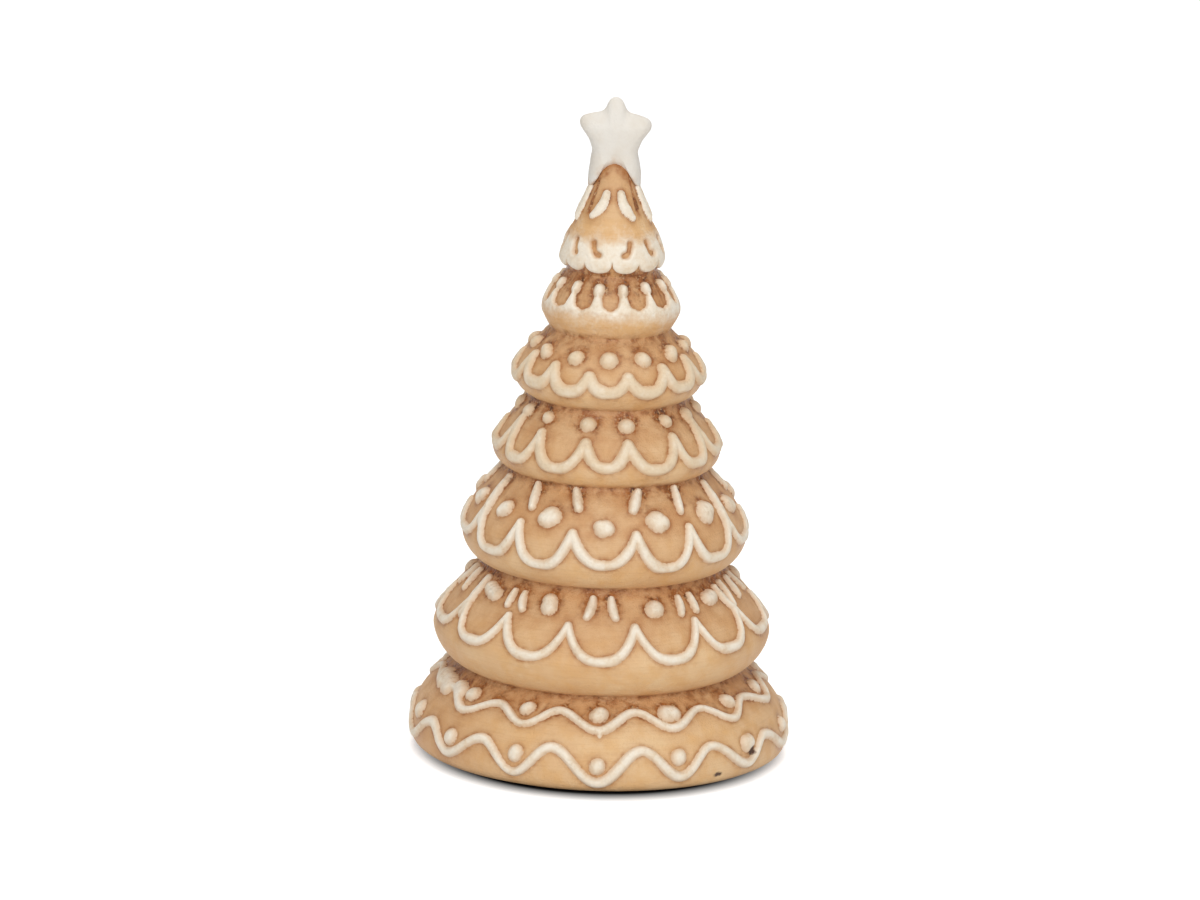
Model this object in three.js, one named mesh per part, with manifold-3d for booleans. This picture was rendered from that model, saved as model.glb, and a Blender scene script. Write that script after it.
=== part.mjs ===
// Gingerbread Christmas tree, a table ornament.
// A hollow casting of seven bell-shaped tiers carries a line of piped icing on every tier, pearls and
// strokes between the lines, a five-pointed star pegged into the tip of the cone, a plate that closes
// the hollow from below and a felt disc that the tree stands on.
// Millimetres, +Z up. The origin is the middle of the resting face, and the front looks along -Y.

import * as THREE from "three";
import { mergeVertices } from "three/addons/utils/BufferGeometryUtils.js";
import Module from "manifold-3d";

const wasm = await Module();
wasm.setup();

// Fits
const CLEARANCE = 0.3;          // between pieces that are pressed, laid or glued together

// Tiers from the foot up.
// slope: height of the upper side, from the widest circle to the neck under the next tier
// lip: height of the under side, from the lower edge to the widest circle
// reach: radius of the widest circle
// tuck: how far the lower edge draws in from the widest circle
// swell: how early the upper side fills out, 1 for a straight cone
// curl: how full the under side is, 2 for a quarter of an ellipse
const FOOT = {
  slope: 18.14, lip: 4.40, reach: 49.9, tuck: 4.0, swell: 2.15, curl: 2.9, slopeCount: 4, lipCount: 2,
};
const SECOND = {
  slope: 17.71, lip: 9.50, reach: 44.4, tuck: 7.8, swell: 1.44, curl: 1.65, slopeCount: 3, lipCount: 3,
};
const THIRD = {
  slope: 18.09, lip: 7.76, reach: 37.5, tuck: 7.0, swell: 1.75, curl: 1.75, slopeCount: 3, lipCount: 2,
};
const FOURTH = {
  slope: 14.17, lip: 4.89, reach: 30.0, tuck: 4.2, swell: 1.33, curl: 1.85, slopeCount: 3, lipCount: 2,
};
const FIFTH = {
  slope: 12.36, lip: 5.51, reach: 24.9, tuck: 4.7, swell: 1.6, curl: 1.75, slopeCount: 3, lipCount: 2,
};
const SIXTH = {
  slope: 11.07, lip: 4.70, reach: 17.6, tuck: 2.4, swell: 1.66, curl: 1.7, slopeCount: 2, lipCount: 2,
};
const CONE = {
  slope: 20.16, lip: 2.95, reach: 13.1, tuck: 1.9, swell: 1.25, curl: 1.4, slopeCount: 2, lipCount: 1,
};
const TIERS = [FOOT, SECOND, THIRD, FOURTH, FIFTH, SIXTH, CONE];
const CONE_TOP_RADIUS = 5.3;    // of the cone where its tip starts to round off
const CONE_TIP_HEIGHT = 3.4;    // of the rounded tip
const BODY_SIDES = 36;
const BASE_SIDES = 28;          // of the plate and the felt

// Hollow and underside
const NECK_WALL = 6.0;          // thickness left at the lowest and the highest neck on the hollow
const HOLLOW_END = FIFTH;       // the hollow ends in the neck over this tier, and all above is solid
const HOLLOW_CROWN = 3.0;       // height of the hollow's pointed end
const RIM_WIDTH = 5.9;          // of the foot's rim around the opening
const LEDGE_WIDTH = 4.0;        // of the ledge that the closing plate lies against
const PLATE_THICKNESS = 2.4;
const FELT_THICKNESS = 1.5;
const FELT_PROUD = 0.8;         // how far the felt stands out below the rim

// Icing
const ICING_HEIGHT = 1.2;       // crown of a line above the body
const PEARL_HEIGHT = 1.45;
const STROKE_HEIGHT = 1.1;
const SUNK = 0.5;               // how deep pearls and strokes root in the body
const REPEATS = 14;             // waves, scallops and pearls around a tier
const TOP_REPEATS = 12;         // scallops around the top tier
const CUSP_FLAT = 0.09;         // flat at the tip of a cusp, as a share of the repeat

// Waves on the foot. Heights are measured along the surface, up from the widest circle.
const WAVE_WIDTH = 2.5;
const LOWER_WAVE = { middle: 3.1, swing: 3.6 };
const UPPER_WAVE = { middle: 15.0, swing: 2.5 };

// Scallops. trough: lower edge at the lowest place. band: width there. notch: rise of the lower edge
// to the place between two scallops. cusp: rise of the upper edge to the tip between two scallops.
// square: how flat the trough is, 2 for a parabola.
const SECOND_SCALLOP = { tier: SECOND, trough: 0.0, band: 2.7, notch: 6.8, cusp: 9.7, square: 2.7 };
const THIRD_SCALLOP = { tier: THIRD, trough: -2.1, band: 3.0, notch: 6.1, cusp: 8.1, square: 2.5 };
const FOURTH_SCALLOP = { tier: FOURTH, trough: -1.3, band: 2.9, notch: 4.4, cusp: 7.6, square: 2.5 };
const FIFTH_SCALLOP = { tier: FIFTH, trough: -1.7, band: 3.2, notch: 2.8, cusp: 5.2, square: 2.5 };

// Broad bands with slots from above. The sixth tier's band has straight edges, and the cone's hangs
// down in scallops. slot: width of a slot in degrees. depth: how deep a slot reaches from above.
const DROP_BAND = {
  tier: SIXTH, repeats: REPEATS, trough: -1.0, band: 7.9, notch: 0, slot: 13, depth: 3.8, shift: 0,
};
const CONE_BAND = {
  tier: CONE, repeats: TOP_REPEATS, trough: -2.3, band: 10.2, notch: 2.8, slot: 8, depth: 5.0, shift: 0.5,
};

// Pearls. height: of the middle along the surface. place: where in the repeat, 0 over a trough and
// 0.5 over a cusp.
const FOOT_LOW_PEARL = { tier: FOOT, height: 4.5, width: 4.5, length: 4.9, place: 0, repeats: REPEATS };
const FOOT_HIGH_PEARL = { tier: FOOT, height: 17.3, width: 4.8, length: 5.2, place: 0, repeats: REPEATS };
const SECOND_PEARL = { tier: SECOND, height: 16.4, width: 5.1, length: 5.7, place: 0, repeats: 9 };
const THIRD_PEARL = { tier: THIRD, height: 11.2, width: 6.2, length: 6.0, place: 0, repeats: REPEATS };
const FOURTH_PEARL = { tier: FOURTH, height: 12.9, width: 4.5, length: 4.6, place: 0.5, repeats: REPEATS };
const FIFTH_PEARL = { tier: FIFTH, height: 9.2, width: 4.9, length: 4.9, place: 0, repeats: REPEATS };
const PEARLS = [FOOT_LOW_PEARL, FOOT_HIGH_PEARL, SECOND_PEARL, THIRD_PEARL, FOURTH_PEARL, FIFTH_PEARL];
const TEARDROP = { height: 8.5, width: 3.3, length: 4.7 };

// Strokes of the piping bag, drawn downward. Angles in degrees from their own middle.
const PAIRED_STROKE = {
  tier: SECOND, repeats: 9, top: 20.4, bottom: 13.3, spread: 3.8, flare: 2.0, width: 2.3,
};
const BENT_STROKE = { tier: THIRD, top: 21.0, bottom: 13.2, lean: 5.2, width: 2.4 };
const CONE_STROKE = { tier: CONE, repeats: 4, top: 19.3, bottom: 11.0, spread: 17, flare: 20, width: 2.5 };

// Star. Half of its outline from the top point down to the arch between the legs, before the corners
// are rounded. aside: from the axis. height: over the tip of the cone.
const STAR_POINT = 19.9;
const STAR_NOTCH = { aside: 3.3, height: 14.4 };
const ARM_TOP = { aside: 9.1, height: 14.95 };
const ARM_LOW = { aside: 9.6, height: 10.1 };
const STAR_WAIST = { aside: 5.4, height: 4.1 };
const LEG_HIP = { aside: 7.3, height: -0.8 };
const LEG_END = { aside: 7.65, height: -6.8 };
const STAR_ARCH = 3.1;
const STAR_LIFT = 8.0;          // middle of the star over the tip of the cone
const STAR_THICKNESS = 7.0;
const STAR_EDGE = 1.1;          // rounding of the star's edges
const CORNER_ROUNDING = 0.45;   // share of each side that the rounding of a corner takes
const PEG_RADIUS = 1.8;
const PEG_DEPTH = 7.0;          // in the socket below the tip of the cone
const SOCKET_SPARE = 0.6;       // free depth under the peg

// Positions that follow from the sizes
let level = FELT_PROUD;
TIERS.forEach((tier) => {
  tier.low = level;
  tier.wide = tier.low + tier.lip;
  tier.top = tier.wide + tier.slope;
  tier.lowRadius = tier.reach - tier.tuck;
  level = tier.top;
});
TIERS.forEach((tier, i) => {
  tier.neckRadius = i + 1 < TIERS.length ? TIERS[i + 1].lowRadius : CONE_TOP_RADIUS;
});
const TIP = CONE.top + CONE_TIP_HEIGHT;
const RIM_RADIUS = FOOT.lowRadius - RIM_WIDTH;
const PLATE_LEVEL = FELT_THICKNESS + CLEARANCE;
const LEDGE_LEVEL = PLATE_LEVEL + PLATE_THICKNESS + CLEARANCE;

// Upper side of a tier, t from 0 at the neck to 1 at the widest circle.
function slopePoint(tier, t) {
  const radius = tier.neckRadius + (tier.reach - tier.neckRadius) * (1 - (1 - t) ** tier.swell);
  return new THREE.Vector2(radius, tier.top - tier.slope * t);
}

// Under side of a tier, t from 0 at the widest circle to 1 at the lower edge.
function lipPoint(tier, t) {
  const u = Math.sin((t * Math.PI) / 2);
  const draw = (1 - u ** tier.curl) ** (1 / tier.curl);
  return new THREE.Vector2(tier.lowRadius + tier.tuck * (t < 1 ? draw : 0), tier.wide - tier.lip * u);
}

// Fine contour of a tier with the distance along it, positive above the widest circle.
function contour(tier) {
  const steps = 60;
  const points = [];
  for (let i = 0; i <= steps; i++) {
    points.push(slopePoint(tier, i / steps));
  }
  for (let i = 1; i <= steps; i++) {
    points.push(lipPoint(tier, i / steps));
  }
  const along = [0];
  for (let i = 1; i < points.length; i++) {
    along.push(along[i - 1] - points[i].distanceTo(points[i - 1]));
  }
  const zero = along[steps];
  return points.map((point, i) => ({ point, height: along[i] - zero }));
}
TIERS.forEach((tier) => {
  tier.contour = contour(tier);
});

// Radius and level at a height along the contour, with the outward direction there.
function onContour(tier, height) {
  const line = tier.contour;
  let i = 1;
  while (i < line.length - 1 && line[i].height > height) {
    i++;
  }
  const share = (line[i - 1].height - height) / (line[i - 1].height - line[i].height);
  const point = line[i - 1].point.clone().lerp(line[i].point, share);
  const before = line[Math.max(i - 4, 0)].point;
  const after = line[Math.min(i + 3, line.length - 1)].point;
  const run = after.clone().sub(before).normalize();
  return { point, normal: new THREE.Vector2(-run.y, run.x) };
}

// Place on the body's surface: angle in radians from the front, positive to the right.
function place(tier, angle, height, lift) {
  const { point, normal } = onContour(tier, height);
  const radius = point.x + normal.x * lift;
  return new THREE.Vector3(radius * Math.sin(angle), -radius * Math.cos(angle), point.y + normal.y * lift);
}

// Closed surface from rings of equal length, each square split along its shorter diagonal. Rings that
// form a loop join at their ends, others are closed by an end point on each side.
function skin(rings, ends) {
  const count = rings[0].length;
  const points = rings.flat();
  const faces = [];
  const spans = ends ? rings.length - 1 : rings.length;
  for (let i = 0; i < spans; i++) {
    for (let j = 0; j < count; j++) {
      const a = i * count + j;
      const b = i * count + ((j + 1) % count);
      const c = ((i + 1) % rings.length) * count + j;
      const d = ((i + 1) % rings.length) * count + ((j + 1) % count);
      const across = points[a].distanceTo(points[d]) < points[b].distanceTo(points[c]);
      faces.push(...(across ? [a, c, d, a, d, b] : [a, c, b, b, c, d]));
    }
  }
  if (ends) {
    const last = (rings.length - 1) * count;
    points.push(ends[0], ends[1]);
    for (let j = 0; j < count; j++) {
      const next = (j + 1) % count;
      faces.push(points.length - 2, j, next, points.length - 1, last + next, last + j);
    }
  }
  const geometry = new THREE.BufferGeometry().setFromPoints(points);
  geometry.setIndex(faces);
  return geometry;
}

// Solids for joins and cuts
function solid(geometry) {
  const bare = geometry.clone();
  bare.deleteAttribute("normal");
  bare.deleteAttribute("uv");
  const merged = mergeVertices(bare, 1e-4);
  const vertProperties = new Float32Array(merged.attributes.position.array);
  const triVerts = new Uint32Array(merged.index.array);
  return new wasm.Manifold(new wasm.Mesh({ numProp: 3, vertProperties, triVerts }));
}

function surface(shape) {
  const mesh = shape.getMesh();
  const geometry = new THREE.BufferGeometry();
  geometry.setAttribute("position", new THREE.BufferAttribute(new Float32Array(mesh.vertProperties), 3));
  geometry.setIndex(new THREE.BufferAttribute(new Uint32Array(mesh.triVerts), 1));
  geometry.computeVertexNormals();
  return geometry;
}

// Turned solid from a profile of radius and level that starts and ends on the axis, with the middle
// of a side facing front.
function turned(profile, sides) {
  return new THREE.LatheGeometry(profile, sides, Math.PI / sides).rotateX(Math.PI / 2);
}

// Sections of the icing between two heights, as height and share of the crown's height, from the
// lower edge over the crown to the upper edge and back along the body. The back of a scallop bends
// with the body at the widest circle, and the crown of a broad band does too.
function waveSection(lower, upper) {
  const width = upper - lower;
  return [[lower, 0], [lower + 0.24 * width, 1], [upper - 0.24 * width, 1], [upper, 0]];
}

function scallopSection(lower, upper) {
  const width = upper - lower;
  return [...waveSection(lower, upper), [Math.max(0, lower + 0.3 * width), 0]];
}

function bandSection(lower, upper) {
  const width = upper - lower;
  const bend = THREE.MathUtils.clamp(0, lower + 0.05 * width, upper - 0.3 * width);
  const ridge = Math.max(bend, lower + 0.22 * width);
  const crown = [[lower + 0.12 * width, 1], [ridge, 1], [upper - 0.12 * width, 1]];
  return [[lower, 0], ...crown, [upper, 0], [bend, 0]];
}

// Icing line all the way round, following the body at the clearance. The repeats start from the front,
// moved on by the shift as a share of one of them.
function icingRing(tier, repeats, shares, section, edges, shift = 0) {
  const rings = [];
  for (let k = 0; k < repeats; k++) {
    for (const share of shares) {
      const angle = ((k + share + shift) * 2 * Math.PI) / repeats;
      rings.push(section(...edges(share)).map(([height, rise]) => {
        return place(tier, angle, height, CLEARANCE + (ICING_HEIGHT - CLEARANCE) * rise);
      }));
    }
  }
  return skin(rings);
}

// Distance from the nearest trough, 0 at the trough and 1 where the flat of the cusp begins.
function fromTrough(share) {
  return Math.min(1, Math.min(share, 1 - share) / (0.5 - CUSP_FLAT / 2));
}

// Wave of constant width: the slanting parts are taller by the slope of the line.
function wave(tier, { middle, swing }) {
  const shares = [0, 1 / 6, 1 / 3, 1 / 2, 2 / 3, 5 / 6];
  return icingRing(tier, REPEATS, shares, waveSection, (share) => {
    const turn = share * 2 * Math.PI;
    const centre = middle - swing * Math.cos(turn);
    const pitch = (2 * Math.PI * onContour(tier, centre).point.x) / REPEATS;
    const slant = ((2 * Math.PI * swing) / pitch) * Math.sin(turn);
    const half = (WAVE_WIDTH / 2) * Math.hypot(1, slant);
    return [centre - half, centre + half];
  });
}

function scallops({ tier, trough, band, notch, cusp, square }) {
  const cusp0 = 0.5 - CUSP_FLAT / 2;
  const shares = [0, 0.66 * cusp0, cusp0, 1 - cusp0, 1 - 0.66 * cusp0];
  return icingRing(tier, REPEATS, shares, scallopSection, (share) => {
    const x = fromTrough(share);
    return [trough + notch * x ** square, trough + band + cusp * x ** square];
  });
}

// Broad band with a slot from above in the middle of each repeat
function slottedBand({ tier, repeats, trough, band, notch, slot, depth, shift }) {
  const half = (slot * repeats) / 360 / 2;
  const hanging = notch > 0 ? [half * 0.56 + 0.25, 0.5, 0.75 - half * 0.56] : [];
  const shares = [half * 0.88, half * 1.12, ...hanging, 1 - half * 1.12, 1 - half * 0.88];
  return icingRing(tier, repeats, shares, bandSection, (share) => {
    const x = fromTrough(share);
    const inSlot = Math.min(share, 1 - share) < half;
    return [trough + notch * x ** 2, trough + band - (inSlot ? depth : 0)];
  }, shift);
}

// Pearl or teardrop head: a low dome on the body, its base at the given lift.
const DOME = [[1, 0], [0.74, 0.72]];
function dome(tier, angle, height, width, length, base) {
  const sides = 5;
  const centre = onContour(tier, height).point.x;
  const rings = DOME.map(([share, rise]) => {
    const ring = [];
    for (let j = 0; j < sides; j++) {
      const turn = (j * 2 * Math.PI) / sides;
      const along = height + (length / 2) * share * Math.cos(turn);
      const aside = angle + ((width / 2) * share * Math.sin(turn)) / centre;
      ring.push(place(tier, aside, along, base + (PEARL_HEIGHT - base) * rise));
    }
    return ring;
  });
  return skin(rings, [place(tier, angle, height, base), place(tier, angle, height, PEARL_HEIGHT)]);
}

// Stroke between two places, pointed at both ends, thickest a third of the way down.
const STROKE_STATIONS = [[0.22, 1], [0.85, 0.65]];
function stroke(tier, top, bottom, bend, width) {
  const middle = (share) => {
    const angle = top.angle + (bottom.angle - top.angle) * share ** bend;
    return { angle, height: top.height + (bottom.height - top.height) * share };
  };
  const rings = STROKE_STATIONS.map(([share, wide]) => {
    const at = middle(share);
    const half = ((width / 2) * wide) / onContour(tier, at.height).point.x;
    const rise = STROKE_HEIGHT * (0.5 + wide / 2);
    return [
      place(tier, at.angle - half, at.height, -SUNK),
      place(tier, at.angle - half * 0.6, at.height, rise),
      place(tier, at.angle + half * 0.6, at.height, rise),
      place(tier, at.angle + half, at.height, -SUNK),
    ];
  });
  const start = place(tier, top.angle, top.height, -SUNK / 2);
  const end = place(tier, bottom.angle, bottom.height, -SUNK / 2);
  return skin(rings, [start, end]);
}

// Outer contour from the rim of the foot up to the tip of the cone
const outside = [];
TIERS.forEach((tier) => {
  for (let i = tier.lipCount; i > 0; i--) {
    outside.push(lipPoint(tier, i / tier.lipCount));
  }
  for (let i = tier.slopeCount; i > 0; i--) {
    outside.push(slopePoint(tier, i / tier.slopeCount));
  }
});
for (let i = 0; i < 3; i++) {
  const turn = (i * Math.PI) / 6;
  const level = CONE.top + CONE_TIP_HEIGHT * Math.sin(turn);
  outside.push(new THREE.Vector2(CONE_TOP_RADIUS * Math.cos(turn), level));
}
outside.push(new THREE.Vector2(0, TIP));

// Hollow from its crown down to the ledge and the rim, tapering evenly so that its core can be drawn
const hollow = [
  [0, HOLLOW_END.top + HOLLOW_CROWN],
  [HOLLOW_END.neckRadius - NECK_WALL, HOLLOW_END.top],
  [FOOT.neckRadius - NECK_WALL, FOOT.top],
  [RIM_RADIUS - LEDGE_WIDTH, LEDGE_LEVEL],
  [RIM_RADIUS, LEDGE_LEVEL],
  [RIM_RADIUS, FOOT.low],
].map(([radius, height]) => new THREE.Vector2(radius, height));

let body = solid(turned([...hollow, ...outside], BODY_SIDES));

// Socket for the star's peg, from above the tip down
const socketDepth = PEG_DEPTH + SOCKET_SPARE;
const socketRadius = PEG_RADIUS + CLEARANCE;
const socket = new THREE.CylinderGeometry(socketRadius, socketRadius, socketDepth * 2, 12);
body = body.subtract(solid(socket.rotateX(Math.PI / 2).translate(0, 0, TIP)));

// Pearls
for (const { tier, height, width, length, place: share, repeats } of PEARLS) {
  for (let k = 0; k < repeats; k++) {
    const angle = ((k + share) * 2 * Math.PI) / repeats;
    body = body.add(solid(dome(tier, angle, height, width, length, -SUNK)));
  }
}

// Pairs of short strokes on the second tier, flaring a little toward the bottom
const DEGREE = Math.PI / 180;
for (let k = 0; k < PAIRED_STROKE.repeats; k++) {
  for (const side of [-1, 1]) {
    const { tier, top, bottom, spread, flare, width, repeats } = PAIRED_STROKE;
    const angle = (k * 2 * Math.PI) / repeats + side * spread * DEGREE;
    const from = { angle, height: top };
    const to = { angle: angle + side * flare * DEGREE, height: bottom };
    body = body.add(solid(stroke(tier, from, to, 2.5, width)));
  }
}

// Bent strokes over the cusps of the third tier, leaning away from the front and the back
for (let k = 0; k < REPEATS; k++) {
  const { tier, top, bottom, lean, width } = BENT_STROKE;
  const angle = ((k + 0.5) * 2 * Math.PI) / REPEATS;
  const side = Math.sin(angle) < 0 ? -1 : 1;
  const from = { angle: angle + side * lean * DEGREE, height: top };
  body = body.add(solid(stroke(tier, from, { angle, height: bottom }, 0.8, width)));
}

// Pairs of teardrops down the cone, under the star
for (let k = 0; k < CONE_STROKE.repeats; k++) {
  for (const side of [-1, 1]) {
    const { tier, top, bottom, spread, flare, width, repeats } = CONE_STROKE;
    const angle = (k * 2 * Math.PI) / repeats + side * spread * DEGREE;
    const from = { angle, height: top };
    const to = { angle: angle + side * flare * DEGREE, height: bottom };
    body = body.add(solid(stroke(tier, from, to, 1.3, width)));
  }
}

// Icing band of the sixth tier with a teardrop head between its slots
let teardropBand = solid(slottedBand(DROP_BAND));
for (let k = 0; k < DROP_BAND.repeats; k++) {
  const angle = ((k + 0.5) * 2 * Math.PI) / DROP_BAND.repeats;
  const { height, width, length } = TEARDROP;
  teardropBand = teardropBand.add(solid(dome(DROP_BAND.tier, angle, height, width, length, CLEARANCE)));
}

// Star: outline with two legs that straddle the cone, every corner rounded
function starOutline() {
  const half = [STAR_NOTCH, ARM_TOP, ARM_LOW, STAR_WAIST, LEG_HIP, LEG_END];
  const right = half.map(({ aside, height }) => new THREE.Vector2(aside, height - STAR_LIFT));
  const left = right.map(({ x, y }) => new THREE.Vector2(-x, y));
  const point = new THREE.Vector2(0, STAR_POINT - STAR_LIFT);
  const arch = new THREE.Vector2(0, STAR_ARCH - STAR_LIFT);
  const corners = [point, ...left, arch, ...right.reverse()];
  const count = corners.length;
  const path = new THREE.Path();
  corners.forEach((corner, i) => {
    const enter = corner.clone().lerp(corners[(i + count - 1) % count], CORNER_ROUNDING);
    const leave = corner.clone().lerp(corners[(i + 1) % count], CORNER_ROUNDING);
    if (i === 0) {
      path.moveTo(enter.x, enter.y);
    } else {
      path.lineTo(enter.x, enter.y);
    }
    path.quadraticCurveTo(corner.x, corner.y, leave.x, leave.y);
  });
  return path.getPoints(2);
}

// The outline is lofted from front to back, drawn in over the rounded edges, with flat faces
const starLoft = [[STAR_EDGE, 0], [STAR_EDGE * 0.3, STAR_EDGE * 0.3], [0, STAR_EDGE]];
const starSections = [
  ...starLoft.map(([inset, depth]) => [inset, depth - STAR_THICKNESS / 2]),
  ...starLoft.map(([inset, depth]) => [inset, STAR_THICKNESS / 2 - depth]).reverse(),
];
const starCentre = TIP + STAR_LIFT;
const starRings = starSections.map(([inset, y]) => starOutline().map((point) => {
  const drawn = point.clone().setLength(point.length() - inset);
  return new THREE.Vector3(drawn.x, y, starCentre + drawn.y);
}));
const starFaces = [-STAR_THICKNESS / 2, STAR_THICKNESS / 2];
const starPlate = skin(starRings, starFaces.map((y) => new THREE.Vector3(0, y, starCentre)));

// The cone's tip, larger by the clearance, leaves its seat in the star
const seatProfile = [new THREE.Vector2(0, CONE.wide)];
for (const t of [1, 0.5, 0.25, 0.1, 0]) {
  const { x, y } = slopePoint(CONE, t);
  seatProfile.push(new THREE.Vector2(x + CLEARANCE, y));
}
for (let i = 1; i < 4; i++) {
  const turn = (i * Math.PI) / 8;
  const level = CONE.top + (CONE_TIP_HEIGHT + CLEARANCE) * Math.sin(turn);
  seatProfile.push(new THREE.Vector2((CONE_TOP_RADIUS + CLEARANCE) * Math.cos(turn), level));
}
seatProfile.push(new THREE.Vector2(0, TIP + CLEARANCE));

const pegTop = STAR_LIFT;
const peg = new THREE.CylinderGeometry(PEG_RADIUS, PEG_RADIUS, PEG_DEPTH + pegTop, 12);
peg.rotateX(Math.PI / 2).translate(0, 0, TIP + (pegTop - PEG_DEPTH) / 2);
const star = solid(starPlate).subtract(solid(turned(seatProfile, 20))).add(solid(peg));

// Closing plate and felt disc, both turned
function disc(radius, bottom, thickness, edge) {
  const top = bottom + thickness;
  const profile = [[0, bottom], [radius - edge, bottom], [radius, bottom + edge], [radius, top], [0, top]];
  return turned(profile.map(([x, y]) => new THREE.Vector2(x, y)), BASE_SIDES);
}

// Materials
const gingerbread = new THREE.MeshStandardMaterial({ color: 0xd9ae7c, roughness: 0.6, metalness: 0 });
const icing = new THREE.MeshStandardMaterial({ color: 0xf0e2ca, roughness: 0.5, metalness: 0 });
const icingStar = new THREE.MeshStandardMaterial({ color: 0xf3e9da, roughness: 0.5, metalness: 0 });
const card = new THREE.MeshStandardMaterial({ color: 0xb99b78, roughness: 0.9, metalness: 0 });
const felt = new THREE.MeshStandardMaterial({ color: 0x3a3128, roughness: 1, metalness: 0 });

const tree = new THREE.Group();
function piece(name, geometry, material) {
  const mesh = new THREE.Mesh(geometry, material.clone());
  mesh.name = name;
  tree.add(mesh);
  return mesh;
}

piece("tree_body", surface(body), gingerbread);
piece("icing_foot_lower_wave", wave(FOOT, LOWER_WAVE), icing);
piece("icing_foot_upper_wave", wave(FOOT, UPPER_WAVE), icing);
piece("icing_tier_2_scallops", scallops(SECOND_SCALLOP), icing);
piece("icing_tier_3_scallops", scallops(THIRD_SCALLOP), icing);
piece("icing_tier_4_scallops", scallops(FOURTH_SCALLOP), icing);
piece("icing_tier_5_scallops", scallops(FIFTH_SCALLOP), icing);
piece("icing_tier_6_teardrops", surface(teardropBand), icing);
piece("icing_tier_7_scallops", slottedBand(CONE_BAND), icing);
piece("star", surface(star), icingStar);
piece("closing_plate", disc(RIM_RADIUS - CLEARANCE, PLATE_LEVEL, PLATE_THICKNESS, 0.3), card);
piece("felt_disc", disc(RIM_RADIUS - CLEARANCE, 0, FELT_THICKNESS, 0.2), felt);

export default tree;
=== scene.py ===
# %% [markdown]
# # A gingerbread Christmas tree, cast and piped
#
# The real object is a table ornament: a tan casting of seven bell-shaped tiers, stained brown in its
# hollows and wiped, with raised icing lines painted cream and a star on the tip. The frame gives the
# sizes. This lesson lays the finer surfaces over it: first the contour of the tiers, then the piping as
# a height over that contour, then the paints, and at the end the light and the camera.

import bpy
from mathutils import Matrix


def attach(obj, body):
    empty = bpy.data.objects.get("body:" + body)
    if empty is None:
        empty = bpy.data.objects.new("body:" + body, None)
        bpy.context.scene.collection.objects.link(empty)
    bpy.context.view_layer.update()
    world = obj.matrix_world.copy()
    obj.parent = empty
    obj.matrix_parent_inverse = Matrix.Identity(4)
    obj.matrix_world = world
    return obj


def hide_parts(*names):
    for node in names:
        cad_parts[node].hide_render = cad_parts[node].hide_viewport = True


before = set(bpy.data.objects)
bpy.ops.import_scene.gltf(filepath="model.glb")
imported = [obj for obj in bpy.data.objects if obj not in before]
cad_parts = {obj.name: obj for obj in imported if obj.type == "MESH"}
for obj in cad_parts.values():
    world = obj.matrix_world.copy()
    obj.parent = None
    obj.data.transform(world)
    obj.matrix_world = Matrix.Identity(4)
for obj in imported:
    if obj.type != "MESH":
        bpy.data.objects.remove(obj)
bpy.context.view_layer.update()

# %% The tools of the lesson
import math

import bpy
import numpy as np
from mathutils import Matrix

MM = 0.001
DEGREE = math.pi / 180
rng = np.random.default_rng(11)
scene = bpy.context.scene
print("Blender", bpy.app.version_string, "with numpy", np.__version__)

# %% [markdown]
# ## The contour of the tiers
#
# A mould for such a tree is turned about one axis, so one curve of radius against level describes the
# whole body. Each tier has an upper side that swells out to its widest circle, and an under side that
# curls back in. The curve could be drawn by hand as a spline, but a formula with a few sizes for each
# tier keeps it equal to the frame, and lets us walk along it in steps of real length.

# %% Sizes of the tiers, in millimetres, from the foot up
TIERS = [
    dict(name="foot", slope=18.14, lip=4.40, reach=49.9, tuck=4.0, swell=2.15, curl=2.9),
    dict(name="tier_2", slope=17.71, lip=9.50, reach=44.4, tuck=7.8, swell=1.44, curl=1.65),
    dict(name="tier_3", slope=18.09, lip=7.76, reach=37.5, tuck=7.0, swell=1.75, curl=1.75),
    dict(name="tier_4", slope=14.17, lip=4.89, reach=30.0, tuck=4.2, swell=1.33, curl=1.85),
    dict(name="tier_5", slope=12.36, lip=5.51, reach=24.9, tuck=4.7, swell=1.6, curl=1.75),
    dict(name="tier_6", slope=11.07, lip=4.70, reach=17.6, tuck=2.4, swell=1.66, curl=1.7),
    dict(name="tier_7", slope=20.16, lip=2.95, reach=13.1, tuck=1.9, swell=1.25, curl=1.4),
]
RIM_LEVEL = 0.8
CONE_TOP_RADIUS = 5.3
CONE_TIP_HEIGHT = 5.6

level = RIM_LEVEL
for tier, above in zip(TIERS, TIERS[1:] + [None]):
    tier["low"] = level
    tier["wide"] = level + tier["lip"]
    level = tier["top"] = tier["wide"] + tier["slope"]
    tier["neck"] = above["reach"] - above["tuck"] if above else CONE_TOP_RADIUS
    tier["covers"] = []
FOOT, SECOND, THIRD, FOURTH, FIFTH, SIXTH, CONE = TIERS
print("top of the cone at", round(level, 2), "mm")

# %% Running averages
def averaged(row, count, ends):
    """Running average over an odd count of values, weighted like a bell. The row is first made longer
    at both ends in one of numpy's ways of padding."""
    window = np.hanning(count)
    return np.convolve(np.pad(row, count // 2, ends), window / window.sum(), "valid")


print("a step, averaged:", averaged(np.arange(6) // 3, 5, "edge").round(2))

# %% Walk along a tier's contour
UPPER_POINTS = 400
UNDER_POINTS = 299
EVEN_POINTS = 600
STEEP_WINDOW = 23


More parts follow.
